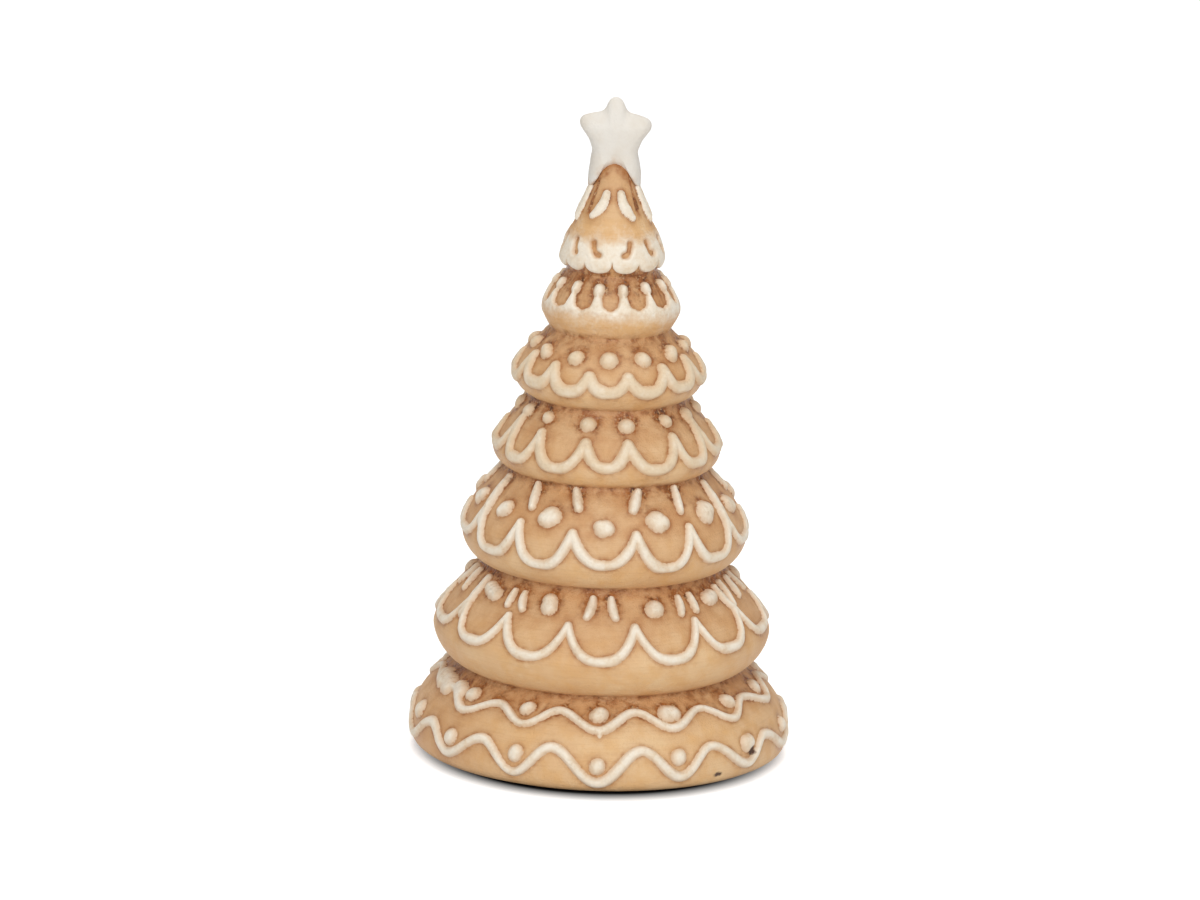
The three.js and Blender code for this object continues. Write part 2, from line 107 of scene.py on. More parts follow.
def contour(tier):
    """Radius, level and steepness along a tier, against the way from its widest circle, up positive.
    On the upper side the radius grows from the neck to the reach as 1 - (1 - t) ** swell, t being the
    share of the slope's height. The under side is a quarter of a superellipse with the power curl."""
    t = np.linspace(0, 1, UPPER_POINTS)
    radius = tier["neck"] + (tier["reach"] - tier["neck"]) * (1 - (1 - t) ** tier["swell"])
    height = tier["top"] - tier["slope"] * t
    u = np.sin(np.linspace(0, np.pi / 2, UNDER_POINTS + 1)[1:])
    under = (1 - u ** tier["curl"]).clip(0, 1) ** (1 / tier["curl"])
    radius = np.r_[radius, tier["reach"] - tier["tuck"] + tier["tuck"] * under]
    height = np.r_[height, tier["wide"] - tier["lip"] * u]
    walked = np.r_[0, np.cumsum(np.hypot(np.diff(radius), np.diff(height)))]
    walked = walked[UPPER_POINTS - 1] - walked
    even = np.linspace(walked[-1], walked[0], EVEN_POINTS)
    radius = np.interp(even, walked[::-1], radius[::-1])
    height = np.interp(even, walked[::-1], height[::-1])
    steep = averaged(np.arctan2(-np.gradient(radius), np.gradient(height)), STEEP_WINDOW, "edge")
    return dict(walk=even, radius=radius, level=height, steep=steep)


for tier in TIERS:
    tier["line"] = contour(tier)
    tier["start"], tier["end"] = tier["line"]["walk"][[0, -1]]
    print(tier["name"], "goes from", round(tier["start"], 1), "to", round(tier["end"], 1), "mm")

# %% Put points on a tier
DIP_FADE = 3.0


def off_ends(tier, walk, fade):
    """0 at the ends of a tier's contour and 1 from fade millimetres inside them."""
    return np.clip(np.minimum(walk - tier["start"], tier["end"] - walk) / fade, 0, 1)


def unevenness(angle, height):
    """Dips of a hand-finished casting, 0 to 0.2 mm deep: three slow sines of angle and level."""
    wave = np.sin(2 * angle + height * 0.11) + 0.8 * np.sin(5 * angle - height * 0.23 + 1.3)
    return -0.042 * (2.4 - wave - 0.6 * np.sin(9 * angle + height * 0.41 + 2.1))


def place(tier, angle, walk, lift):
    """Points on a tier at an angle from the front and a way up from its widest circle, moved out by
    lift along the surface's normal. Radius and level are read from the contour; the front is -Y. The
    dips fade out toward both ends, so that neighbouring tiers meet."""
    line = tier["line"]
    radius, height, steep = (
        np.interp(walk, line["walk"], line[key]) for key in ("radius", "level", "steep")
    )
    out = lift + off_ends(tier, walk, DIP_FADE) * unevenness(angle, height)
    radius = radius + np.cos(steep) * out
    height = height + np.sin(steep) * out
    return np.stack([radius * np.sin(angle), -radius * np.cos(angle), height + 0 * angle], -1)


print("in front, the foot's widest circle is at", place(FOOT, 0.0, 0.0, 0.0).round(1))

# %% [markdown]
# ## From a grid to a mesh
#
# Every surface here is a grid of points that numpy works out at once, so one helper turns arrays into a
# mesh. Values that the paints need later, such as how close a point lies to the piping, go with the
# points as attributes. The faces are ordered so that they all point outwards.

# %% Arrays to mesh
def add_mesh(name, points, quads, triangles=(), values=None):
    """A smooth-shaded object from points in millimetres, faces, and a value per point for each name."""
    mesh = bpy.data.meshes.new(name)
    points = np.asarray(points, dtype=np.float64).reshape(-1, 3) * MM
    quads = np.asarray(quads, dtype=np.int32).reshape(-1, 4)
    triangles = np.asarray(triangles, dtype=np.int32).reshape(-1, 3)
    corners = np.r_[np.full(len(quads), 4), np.full(len(triangles), 3)]
    mesh.vertices.add(len(points))
    mesh.vertices.foreach_set("co", points.ravel())
    mesh.loops.add(int(corners.sum()))
    mesh.loops.foreach_set("vertex_index", np.r_[quads.ravel(), triangles.ravel()])
    mesh.polygons.add(len(corners))
    mesh.polygons.foreach_set("loop_start", np.r_[0, np.cumsum(corners)[:-1]])
    mesh.polygons.foreach_set("use_smooth", np.ones(len(corners), dtype=bool))
    for key, value in (values or {}).items():
        layer = mesh.attributes.new(key, "FLOAT", "POINT")
        layer.data.foreach_set("value", np.asarray(value, dtype=np.float32).ravel())
    mesh.update(calc_edges=True)
    if mesh.validate():
        print("repaired", name)
    piece = bpy.data.objects.new(name, mesh)
    scene.collection.objects.link(piece)
    print(name, "has", 2 * len(quads) + len(triangles), "triangles")
    return piece


print("a millimetre is", MM, "of the scene's units")

# %% Faces of a grid
def grid_faces(rows, columns):
    """Four-cornered faces of a grid stored row after row from low to high, joined around the axis."""
    index = np.arange(rows * columns).reshape(rows, columns)
    right = np.roll(index, -1, axis=1)
    return np.stack([index[:-1], right[:-1], right[1:], index[1:]], -1)


print("a grid of 4 rows of 6 points has", len(grid_faces(4, 6).reshape(-1, 4)), "faces")

# %% [markdown]
# ## Piping as strokes
#
# A piping bag leaves a bead along the path of its nozzle. A stroke here is a row of places on a tier,
# each with half the width of the bead there. The beads could be swept tubes, but where two of them
# meet, real icing runs together, and tubes would only pass through each other. So the icing becomes a
# height over the tier, which at every point depends on the distance to the nearest place of a stroke.
#
# The hand that piped it was not a machine: spacings and heights differ a little from one repeat to the
# next. At the front they are the ones that show in the picture, and elsewhere a seeded draw sets them.

# %% Strokes of the piping bag, and their repeats
def stroke(angle, way, half_width):
    """One stroke: angles in degrees, ways up from the widest circle, and half widths."""
    return np.broadcast_arrays(np.asarray(angle, dtype=float) * DEGREE, way, half_width)


def spread(count, offset, usual, scatter, measured=()):
    """Repeats around a tier, as rows of an angle and other values: even angles and usual values, all
    moved within scatter, and the measured rows in place of the nearest of them."""
    angle = (np.arange(count) + offset) * 360 / count - 180
    others = np.tile(np.atleast_1d(usual).astype(float), (count, 1))
    rows = np.concatenate([angle[:, None], others], axis=1)
    rows += rng.uniform(-1, 1, rows.shape) * scatter
    for row in measured:
        rows[np.argmin(np.abs(rows[:, 0] - row[0]))] = row
    return rows[np.argsort(rows[:, 0])]


print("the places of a stroke:", stroke([0, 90], 1.0, 0.5))

# %% Waves
WAVE_STEP = 0.25


def wave(crests, troughs, half_width):
    """A line through crests and troughs, eased from one to the next by half a cosine. Two sines of the
    angle make its width uneven, as a hand does."""
    knots = np.concatenate([crests, troughs])
    knots = knots[np.argsort(knots[:, 0])]
    knots = np.concatenate([knots[-1:] - (360, 0), knots, knots[:1] + (360, 0)])
    angle = np.arange(-180, 180, WAVE_STEP)
    index = np.searchsorted(knots[:, 0], angle, side="right") - 1
    share = (angle - knots[index, 0]) / (knots[index + 1, 0] - knots[index, 0])
    ease = 0.5 - 0.5 * np.cos(np.pi * share)
    way = knots[index, 1] + (knots[index + 1, 1] - knots[index, 1]) * ease
    hand = 1 + 0.08 * np.sin(angle * 5 * DEGREE + 1) + 0.06 * np.sin(angle * 17 * DEGREE)
    return [stroke(angle, way, half_width * hand)]


print("a wave has", len(np.arange(-180, 180, WAVE_STEP)), "places")

# %% Pearls
DAB_PLACES = 4
DAB_TURN = 57.3 / 38


def dabs(rows, lobes=0.0):
    """Pearls of icing from rows of angle, way, width, height and, where they lean, the degrees that they
    are turned by. Each is a few overlapping places in a row, and never quite round: the places stray by
    a tenth of a millimetre, or more with lobes. A millimetre sideways is DAB_TURN degrees, as on a
    radius of 38 mm."""
    share, strokes = np.linspace(-0.5, 0.5, DAB_PLACES), []
    for angle, way, width, tall, *lean in rows:
        size = min(width, tall)
        tilt = rng.uniform(-0.5, 0.5) * lobes
        stray_up, stray_side = rng.uniform(-0.1, 0.1, (2, DAB_PLACES)) * (1 + 3 * lobes)
        up = share * (tall - size) + stray_up + tilt * share * size * 0.6
        side = share * (width - size) + stray_side + share * lobes * size * 0.5
        cos, sin = math.cos(sum(lean) * DEGREE), math.sin(sum(lean) * DEGREE)
        half = size / 2 * (1 - 0.3 * lobes * np.abs(2 * share)) * rng.uniform(0.96, 1.04, DAB_PLACES)
        across = (side * cos - up * sin) * DAB_TURN
        strokes.append(stroke(angle + across, way + side * sin + up * cos, half))
    return strokes


print("on a pearl, a millimetre sideways is", round(DAB_TURN, 2), "degrees")

# %% Short pulls
PULL_POINTS = 18


def dashes(rows, widths, bend=1.0):
    """Short pulls of the nozzle, from rows of the angle at the start and at the end and the way at the
    start and at the end. The angle goes over as the share of the pull ** bend, and the widths are
    read along it."""
    share = np.linspace(0, 1, PULL_POINTS)
    half = np.interp(share, np.linspace(0, 1, len(widths)), widths) / 2
    return [
        stroke(a + (b - a) * share ** bend, top + (low - top) * share, half * rng.uniform(0.93, 1.07))
        for a, b, top, low in rows
    ]


print("a pull has", PULL_POINTS, "places")

# %% [markdown]
# ## Height of the icing over a tier
#
# For each point of a fine grid, the nearest place of a stroke is found in space. The distance over the
# half width says how far out on the bead the point lies: 0 is its crown and 1 its edge. The bead's
# section is a power curve, and beyond the edge it dives under the casting, so that the line where the
# two surfaces cut is the clean edge of the bead. Heights of strokes that meet are blended.

# %% Nearest stroke
FAR = 9.0
FAR_SHARE = 3.0
SECTORS = 72
NEAR = 7.0


def nearest(tier, angles, points, strokes):
    """For each point of a grid the smallest distance to the strokes' places, once as a share of the
    half width and once in millimetres outside the bead. The grid is cut in sectors around the axis,
    and each sector meets only the places near it."""
    share = np.full(points.shape[:2], FAR_SHARE)
    gap = np.full(points.shape[:2], FAR)
    place_angle = np.concatenate([s[0] for s in strokes])
    places = np.concatenate([place(tier, s[0], s[1], 0) for s in strokes])
    widths = np.concatenate([s[2] for s in strokes])
    reach = min(NEAR / tier["neck"], 1.2) + np.pi / SECTORS
    for columns in np.array_split(np.arange(len(angles)), SECTORS):
        middle = angles[columns].mean()
        away = np.abs((place_angle - middle + np.pi) % (2 * np.pi) - np.pi)
        near = away < reach
        if near.any():
            block = points[:, columns].reshape(-1, 1, 3)
            distance = np.linalg.norm(block - places[near][None], axis=2)
            shape = (-1, len(columns))
            least = (distance / widths[near]).min(axis=1)
            share[:, columns] = np.minimum(FAR_SHARE, least).reshape(shape)
            gap[:, columns] = (distance - widths[near]).min(axis=1).reshape(shape)
    return share, gap


print("strokes up to", NEAR, "mm away are looked at")

# %% Heights that blend
def blend(first, second, soft=0.35):
    """The higher of two heights, rounded where they meet within soft millimetres."""
    mix = np.clip(0.5 + (first - second) / (2 * soft), 0, 1)
    return second + (first - second) * mix + soft * mix * (1 - mix)


def piped(tier, *layers):
    """A cover: a function that tells for a grid the icing's lift, its rise from the crown, 0, to the
    edge, 1, the millimetres outside it, gap, and how bare of cream it is. It is made of layers of
    strokes with a height and a power for the section: height times 1 - rise ** power."""
    def cover(angles, walks):
        """The four values on a grid of angles and ways up."""
        points = place(tier, angles[None], walks[:, None], 0)
        shares, gaps = zip(*[nearest(tier, angles, points, layer[0]) for layer in layers])
        lift = -np.ones(points.shape[:2])
        for share, (_, height, power) in zip(shares, layers):
            lift = blend(lift, height * (1 - np.minimum(share, 1.5) ** power))
        return dict(lift=lift, rise=np.min(shares, axis=0), gap=np.min(gaps, axis=0), bare=0 * lift)
    return cover


print("heights 1 and 1 meet as", round(float(blend(1.0, 1.0)), 3))

# %% Random lumps
PLANE_WAVES = 18


def lumps(points, size, seed):
    """Soft random lumps, about -1 to 1: the sum of plane waves with wavelengths near size."""
    draw = np.random.default_rng(seed)
    direction = draw.normal(size=(PLANE_WAVES, 3))
    turns = 2 * np.pi / size / draw.uniform(0.7, 1.5, PLANE_WAVES) / np.linalg.norm(direction, axis=1)
    phase = draw.uniform(0, 2 * np.pi, PLANE_WAVES)
    return np.sin(points @ (direction * turns[:, None]).T + phase).sum(-1) / 5


print("lumps of three points:", lumps(np.eye(3), 1.0, 3).round(2))

# %% Where the wash stayed, and painted shade on the sides
WASH_START = dict(foot=10, tier_2=2, tier_7=14)
WASH_GROWTH = 10
WORN = dict(tier_4=0.6, tier_5=0.6)


def from_necks(tier, walks):
    """Millimetres along the tier to the nearer neck. The foot has only the upper one. The lower one
    counts as 1.6 times as far, because the wash runs off an under side."""
    fold = tier["end"] - walks
    return fold if tier is FOOT else np.minimum(fold, 1.6 * (walks - tier["start"]))


def hollows(tier, angles, walks):
    """How much of the wash the cloth left on the open surface: none up to a start near the widest
    circle, or higher on the tiers in WASH_START, and all of it from 10 mm above that. Away from the
    front, painted shade is added where the sides turn from the light, most at the left of the foot."""
    start = WASH_START.get(tier["name"], -1)
    left = -angles / DEGREE
    # Painted shade: darker on the sides that turn away from the front, most at the left of the foot.
    painted_side_shade = 0.4 * np.clip(np.abs(left) / 40 - 1, 0, 1)
    if tier is FOOT:
        painted_left_shade = 0.7 * np.clip((left - 30) / 20, 0, 1)
        painted_side_shade = np.maximum(painted_side_shade, painted_left_shade * np.clip((160 - left) / 40, 0, 1))
    return np.clip(np.clip((walks - start) / WASH_GROWTH, 0, 1)[:, None] + painted_side_shade, 0, 1)


print("wash at 0, 8 and 16 mm up the foot:", hollows(FOOT, np.zeros(1), np.array([0, 8, 16])).ravel())

# %% Chips
def chipped(tier, angles, walks, rows):
    """1 in ovals where a chip is lost and 0 elsewhere, from rows of angle, way, width and height."""
    pit = np.zeros((len(walks), len(angles)))
    for degrees, way, wide, tall in rows:
        side = (angles[None] - degrees * DEGREE) * tier["reach"] / wide
        pit = np.maximum(pit, np.exp(-(side ** 2 + ((walks[:, None] - way) / tall) ** 2) ** 2))
    return pit


lone_chip = chipped(FOOT, np.zeros(1), np.array([0, 1, 2]), [(0, 0, 1, 1)])
print("a chip of 1 mm at 0, 1 and 2 mm from its middle:", lone_chip.ravel().round(2))

# %% Faces of a closed skin
def skin_faces(inside):
    """Faces of a front grid where a cell has a corner inside, of a back grid behind it, and of walls
    between the two where such a cell has a neighbour without one."""
    right = np.roll(inside, -1, axis=1)
    cells = inside[:-1] | right[:-1] | inside[1:] | right[1:]
    padded = np.pad(np.pad(cells, ((1, 1), (0, 0))), ((0, 0), (1, 1)), "wrap")
    neighbours = (padded[:-2, 1:-1], padded[1:-1, 2:], padded[2:, 1:-1], padded[1:-1, :-2])
    faces = grid_faces(*inside.shape)
    walls = []
    for side, beyond in enumerate(neighbours):
        border = faces[cells & ~beyond]
        a, b = border[:, side], border[:, (side + 1) % 4]
        walls.append(np.stack([b, a, a + inside.size, b + inside.size], -1))
    front = faces[cells]
    return np.concatenate([front, front[:, ::-1] + inside.size] + walls)


lone_point = np.zeros((5, 5), dtype=bool)
lone_point[2, 2] = True
print("a skin over one point has", len(skin_faces(lone_point)), "faces")

# %% Icing on a tier
SKIN_EDGE = -0.3
SKIN_BACK = -0.75
ICING_STEP = 0.3


def icing_skin(name, tier, low, high, cover, chips=()):
    """The icing between two ways up a tier: a grid lifted by the cover where that is above a little
    under the surface, closed by a back sunk into the casting and walls around the border. The tier
    keeps the cover for its casting."""
    tier["covers"].append(cover)
    angles = np.linspace(-np.pi, np.pi, int(2 * np.pi * tier["reach"] / ICING_STEP), endpoint=False)
    walks = np.linspace(low, high, int((high - low) / ICING_STEP) + 1)
    icing = cover(angles, walks)
    base = place(tier, angles[None], walks[:, None], 0)
    soft = np.clip(1.2 - icing["rise"], 0, 1) * (0.06 * lumps(base, 3.0, 3) + 0.03 * lumps(base, 1.4, 4))
    pit = chipped(tier, angles, walks, chips)
    lift = icing["lift"] + soft - 0.35 * pit
    front = place(tier, angles[None], walks[:, None], np.maximum(lift, SKIN_EDGE))
    back = place(tier, angles[None], walks[:, None], SKIN_BACK)
    used, quads = np.unique(skin_faces(lift > SKIN_EDGE), return_inverse=True)
    points = np.concatenate([front.reshape(-1, 3), back.reshape(-1, 3)])[used]
    values = {key: icing[key] for key in ("rise", "gap", "bare")}
    values["fold"] = np.broadcast_to(from_necks(tier, walks)[:, None], lift.shape)
    # Wash together with painted shade on the sides away from the front.
    values["hollow"] = hollows(tier, angles, walks)
    values["worn"] = np.full(lift.shape, WORN.get(tier["name"], 0.0))
    values["pit"] = pit
    values = {key: np.tile(value.ravel(), 2)[used] for key, value in values.items()}
    return add_mesh(name, points, quads.reshape(-1, 4), values=values)


# %% [markdown]
# ## The foot
#
# Two waves of icing go round the foot, with a pearl in each of their dips. The lower wave dips onto the
# widest circle, and the upper one lies close under the neck. The pearls are dabs, a little taller than
# they are wide, and on the left some of them have run together.

# %% Lower wave of the foot, with its pearls
LINE_HEIGHT = 0.95
PEARL_HEIGHT = 1.3
TALL_PEARL = 1.35
PULL_HEIGHT = 1.05
ROUND = 2.2

crests = spread(
    14, 0.5, 6.6, (0.9, 0.3),
    [(-63, 6.0), (-38, 6.5), (-14.3, 7.2), (13.5, 6.9), (37, 6.4), (62, 5.3)],
)
dips = spread(14, 0, -0.2, (0.9, 0.2), [(-52, 0.2), (-26, -0.5), (0, -1.5), (25.7, -0.5), (52, -0.4)])
pearls = spread(
    14, 0, (4.5, 4.5, 4.9), (0.8, 0.3, 0.3, 0.3),
    [
        (-75, 6.6, 5.4, 5.4), (-51.3, 4.4, 4.5, 4.8), (-25.6, 4.5, 4.3, 4.9), (0, 2.9, 4.3, 4.9),
        (25.3, 4.6, 4.4, 5.0), (52.5, 4.8, 5.8, 5.2),
    ],
)
cover = piped(
    FOOT, (wave(crests, dips, 1.42), LINE_HEIGHT, ROUND), (dabs(pearls, 0.2), PEARL_HEIGHT, ROUND),
)
icings = [icing_skin("foot_lower_wave", FOOT, -3.6, 10.6, cover, [(53.8, 2.6, 1.5, 1.3)])]

# %% Upper wave of the foot, with its pearls
crests = spread(
    14, 0.5, 17.6, (0.9, 0.3),
    [(-64, 16.9), (-38, 17.1), (-14, 17.9), (13, 18.1), (38.5, 17.3), (62, 16.8)],
)
dips = spread(
    14, 0, 12.5, (0.9, 0.3),
    [(-77, 15.8), (-51.5, 12.4), (-26, 12.6), (0, 12.5), (25.5, 12.6), (51, 12.3)],
)
pearls = spread(
    14, 0, (17.4, 4.6, 5.0), (0.8, 0.3, 0.4, 0.3),
    [
        (-26.5, 17.4, 4.2, 5.0), (0, 17.3, 4.7, 5.6), (25.6, 17.0, 6.2, 5.4), (53.3, 17.2, 4.9, 4.7),
        (-52, 17.3, 5.2, 4.8),
    ],
)
blobs = [(-60, 17.2, 5.8, 5.4), (-70, 17.0, 7.4, 7.0), (-77, 17.2, 7.4, 7.0)]
smears = dashes([(0.5, 0.4, 12.2, 10.8)], (2.0, 1.0))
cover = piped(
    FOOT, (wave(crests, dips, 1.27), LINE_HEIGHT, ROUND), (dabs(pearls, 0.25), PEARL_HEIGHT, ROUND),
    (dabs(blobs, 0.9), PEARL_HEIGHT, ROUND), (smears, 0.2, ROUND),
)
icings.append(icing_skin("foot_upper_wave", FOOT, 10.2, 21.4, cover))

# %% [markdown]
# ## Scallops
#
# The next four tiers each carry a row of scallops. Their tips are where two strokes of the nozzle meet
# and run together. Above them go pearls and short pulls of icing, and each tier has its own mixture.

# %% Scallops between tips
SWAG_POINTS = 161


def swags(tips, troughs, half_width, tip_width):
    """Scallops hung between neighbouring tips, from rows of angle and way, and for the troughs also of
    bow. From the middle of each, x = 0, to its tips, x = 1, the line climbs as x ** bow. It thins
    toward the tips, and two sines with seeded phases make its width uneven."""
    x = np.sin(np.linspace(-np.pi / 2, np.pi / 2, SWAG_POINTS))
    strokes = []
    for left, right in zip(tips, np.concatenate([tips[1:], tips[:1] + (360, 0)])):
        angle = (left[0] + right[0]) / 2 + (right[0] - left[0]) / 2 * x
        away = (troughs[:, 0] - angle[SWAG_POINTS // 2] + 180) % 360 - 180
        low, bow = troughs[np.argmin(np.abs(away)), 1:]
        high = np.where(x < 0, left[1], right[1])
        width = tip_width + (half_width - tip_width) * (1 - np.abs(x) ** 5)
        hand = 1 + 0.07 * np.sin(x * 3 + rng.uniform(0, 6)) + 0.04 * np.sin(x * 9 + rng.uniform(0, 6))
        strokes.append(stroke(angle, low + (high - low) * np.abs(x) ** bow, width * hand))
    return strokes


print("a scallop has", SWAG_POINTS, "places")

# %% Second tier
tips = spread(
    14, 0.5, 11.3, (0.8, 0.3),
    [(-63.5, 13.5), (-38.8, 11.5), (-13, 11.3), (13, 11.3), (38.8, 11.6), (63.5, 12.5)],
)
dips = spread(
    14, 0, (1.6, 2.8), (0.1, 0.25, 0.15),
    [
        (-77, 3.6, 3.6), (-51.5, 2.4, 3.2), (-25.5, 1.7, 2.7), (0, 1.7, 2.7), (25.5, 1.7, 2.7),
        (51.5, 2.3, 3.2), (77, 3.2, 3.6),
    ],
)
pearls = spread(
    9, 0, (16.3, 5.0, 5.6, 0), (1.0, 0.3, 0.3, 0.3, 9),
    [
        (-54.5, 16.7, 8.4, 4.5, -17), (-23, 16.7, 4.7, 7.0, 24), (22.7, 16.2, 5.2, 5.6, 0),
        (53, 16.9, 6.4, 4.9, 12),
    ],
)
pairs = spread(9, 0.5, (4.0, 5.6, 19.6, 13.6), (0.8, 0.3, 0.3, 0.2, 0.3))
pairs = pairs[np.abs(pairs[:, 0]) > 70]
pulls = [(a + s * near, a + s * far, top, low) for a, near, far, top, low in pairs for s in (-1, 1)]
pulls += [
    (-42.3, -41.8, 18.7, 14.2), (-36.6, -34, 18.7, 14.0),
    (-4.1, -6, 19.6, 14.0), (4.1, 5.6, 19.6, 13.9), (35.6, 34, 18.8, 14.0), (42.2, 41.7, 19.0, 14.3),
    (60.5, 62.5, 19.0, 12.5), (66.5, 65, 19.6, 12.5),
]
cover = piped(
    SECOND,
    (swags(tips, dips, 1.4, 1.15), LINE_HEIGHT, ROUND),
    (dabs(pearls, 0.25), PEARL_HEIGHT, ROUND),
    (dashes(pulls, (2.0, 2.6, 2.8, 2.2), 2), PULL_HEIGHT, ROUND),
    (dashes([(-64.5, -63.2, 19.4, 8.0)], (2.6, 3.6, 3.8, 3.4)), LINE_HEIGHT, ROUND),
)
icings.append(icing_skin("tier_2_scallops", SECOND, -1.4, 22.0, cover))

# %% Third tier
tips = spread(
    14, 0.5, 8.0, (0.8, 0.3),
    [(-64.3, 11.0), (-39.3, 8.9), (-13.6, 8.1), (13.8, 8.1), (39.5, 8.9), (64.3, 9.8)],
)
dips = spread(
    14, 0, (-0.4, 2.7), (0.1, 0.3, 0.15),
    [
        (-77, 1.8, 3.6), (-52, -0.2, 3.4), (-26.5, -1.1, 2.8), (0, 0.1, 2.5), (26.5, -1.1, 2.8),
        (52, -0.4, 3.6), (77, 1.2, 3.6),
    ],
)
pearls = spread(
    14, 0, (11.2, 6.0, 5.8, 0), (0.8, 0.4, 0.4, 0.4, 15),
    [
        (-51.2, 11.3, 5.2, 6.9, -10), (-25.5, 11.7, 6.2, 7.2, 15), (0, 9.9, 5.2, 5.8, 0),
        (24.4, 11.5, 6.3, 6.8, -10), (53, 12.0, 6.6, 7.0, 10),
    ],
)
pulls = spread(14, 0.5, (3.2, 1.0, 20.5, 14.4), (0.8, 0.5, 0.5, 0.2, 0.4))
pulls = pulls[np.abs(pulls[:, 0]) > 70]
pulls = [(a + np.sign(a) * near, a + np.sign(a) * far, top, low) for a, near, far, top, low in pulls]
pulls += [
    (-40.3, -36.6, 20.5, 13.9), (-16.2, -12.7, 20.6, 15.1),
    (18.2, 13.8, 20.6, 15.1), (41, 38, 20.5, 13.7),
]
cover = piped(
    THIRD,
    (swags(tips, dips, 1.55, 1.25), LINE_HEIGHT, ROUND),
    (dabs(pearls, 0.75), PEARL_HEIGHT, 2.7),
    (dashes(pulls, (2.2, 2.9, 3.1, 2.6), 0.9), PULL_HEIGHT, ROUND),
    (dashes([(-66, -63.6, 19.6, 6.0), (66.5, 64, 19.2, 6.0)], (3.0, 4.2, 4.6, 4.0)),
     LINE_HEIGHT, ROUND),
)
icings.append(icing_skin("tier_3_scallops", THIRD, -3.4, 21.6, cover))

# %% Fourth tier
tips = spread(
    14, 0.5, 8.0, (0.8, 0.3),
    [(-64.3, 11.3), (-41.3, 8.6), (-12, 7.6), (12, 7.6), (41.3, 8.4), (64.3, 11.3)],
)
dips = spread(
    14, 0, (0.0, 2.7), (0.1, 0.3, 0.15),
    [
        (-77, 1.6, 3.6), (-53, 0.5, 3.6), (-26.5, 0, 2.6), (0, 1.1, 2.6), (26.7, 0.3, 2.7),
        (53, 0.6, 3.6), (77, 1.6, 3.6),
    ],
)
pearls = spread(
    14, 0.5, (13.0, 4.4, 4.5), (0.8, 0.3, 0.3, 0.3),
    [
        (-89, 13.6, 4.8, 4.8), (-64, 13.4, 4.8, 4.6), (-42, 13.3, 3.7, 3.6), (-12.3, 12.9, 4.4, 4.4),
        (12.4, 12.9, 4.7, 4.6), (41.3, 13.3, 4.2, 3.7), (64, 13.4, 4.8, 4.6), (89, 13.4, 4.8, 4.6),
    ],
)
cover = piped(
    FOURTH,
    (swags(tips, dips, 1.65, 1.5), LINE_HEIGHT, ROUND),
    (dabs(pearls, 0.2), TALL_PEARL, ROUND),
)
icings.append(icing_skin("tier_4_scallops", FOURTH, -2.6, 16.6, cover))

# %% Fifth tier
tips = spread(
    14, 0.5, 5.4, (0.8, 0.3),
    [(-64.3, 7.3), (-38.8, 6.0), (-12.6, 4.1), (12.4, 4.1), (38.6, 5.9), (64.3, 7.0)],
)
dips = spread(
    14, 0, (-0.1, 2.6), (0.1, 0.3, 0.15),
    [(-53, 0.4, 3.6), (-27, -0.3, 2.6), (0, 0.1, 2.6), (25.5, -0.1, 2.6), (53, 0.3, 3.6)],
)
pearls = spread(
    14, 0, (9.4, 4.9, 5.0, 0), (0.8, 0.3, 0.3, 0.3, 9),
    [
        (-78, 10.4, 4.4, 4.2, 0), (-54, 9.4, 6.2, 4.2, -25), (-25.6, 9.2, 4.7, 4.8, 0),
        (0, 9.3, 5.1, 5.2, 0), (25.4, 9.3, 4.8, 4.9, 0), (54, 9.9, 6.4, 4.4, 20), (78, 10.4, 4.4, 4.2, 0),
    ],
)
cover = piped(
    FIFTH,
    (swags(tips, dips, 1.8, 1.7), LINE_HEIGHT, 2.6),
    (dabs(pearls, 0.3), TALL_PEARL, ROUND),
)
icings.append(icing_skin("tier_5_scallops", FIFTH, -3.2, 13.6, cover))

# %% [markdown]
# ## Broad bands of icing
#
# The two highest tiers are not piped but flooded: a broad band of icing from which U-shaped or hooked
# openings are left out. A band could be filled with many strokes, but it is simpler the other way round:
# measure how far a point lies inside the band's borders and outside the openings, and let the icing
# round off over the last millimetre before the nearest of them. One border of each band is not an edge
# at all. There the icing runs out flat over several millimetres, and only the cream paint ends.

# %% Flooded bands
BAND_ROUND = 2.4
CREAM_FADE = 4.5


def flooded(tier, hard, soft, run_out, painted, openings, height, layers):
    """A cover for a band. The functions hard, soft and painted give for grid angles in degrees and ways
    the millimetres inside the edge, inside the flat border and inside the end of the cream. The flat
    border fades in over run_out, openings are strokes left out, and the layers are piped on top."""
    extra = piped(tier, *layers)

    def cover(angles, walks):
        """The four values on a grid of angles and ways up."""
        points = place(tier, angles[None], walks[:, None], 0)
        degrees, way = angles[None] / DEGREE, walks[:, None]
        opening = nearest(tier, angles, points, openings)[1]
        edge = np.minimum(hard(degrees, way), opening)
        flat = soft(degrees, way) / run_out
        rise = 1 - np.clip(edge, -0.6, 1)
        more = extra(angles, walks)
        share = np.clip(flat, 0, 1)
        eased = np.where(flat < 0, flat, share ** 2 * (3 - 2 * share))
        bulge = np.minimum(1 - rise ** BAND_ROUND, eased)
        bare = np.clip(0.5 - painted(degrees, way) / CREAM_FADE, 0, 1) * (more["rise"] > 0.9)
        gap = np.minimum(np.where(flat < 0, FAR, np.abs(edge)), np.abs(more["gap"]))
        lift, rise = blend(height * bulge, more["lift"]), np.minimum(rise, more["rise"])
        return dict(lift=lift, rise=rise, gap=gap, bare=bare)
    return cover


print("the cream of a band fades out over", CREAM_FADE, "mm")

# %% Sixth tier, with drops that run into a band
BAND_HEIGHT = 0.75
DROP_HEIGHT = 1.15
USUAL_OPENING = 25.7
OPENING_WIDTHS = np.array([2.5, 3.7, 3.0, 3.4])

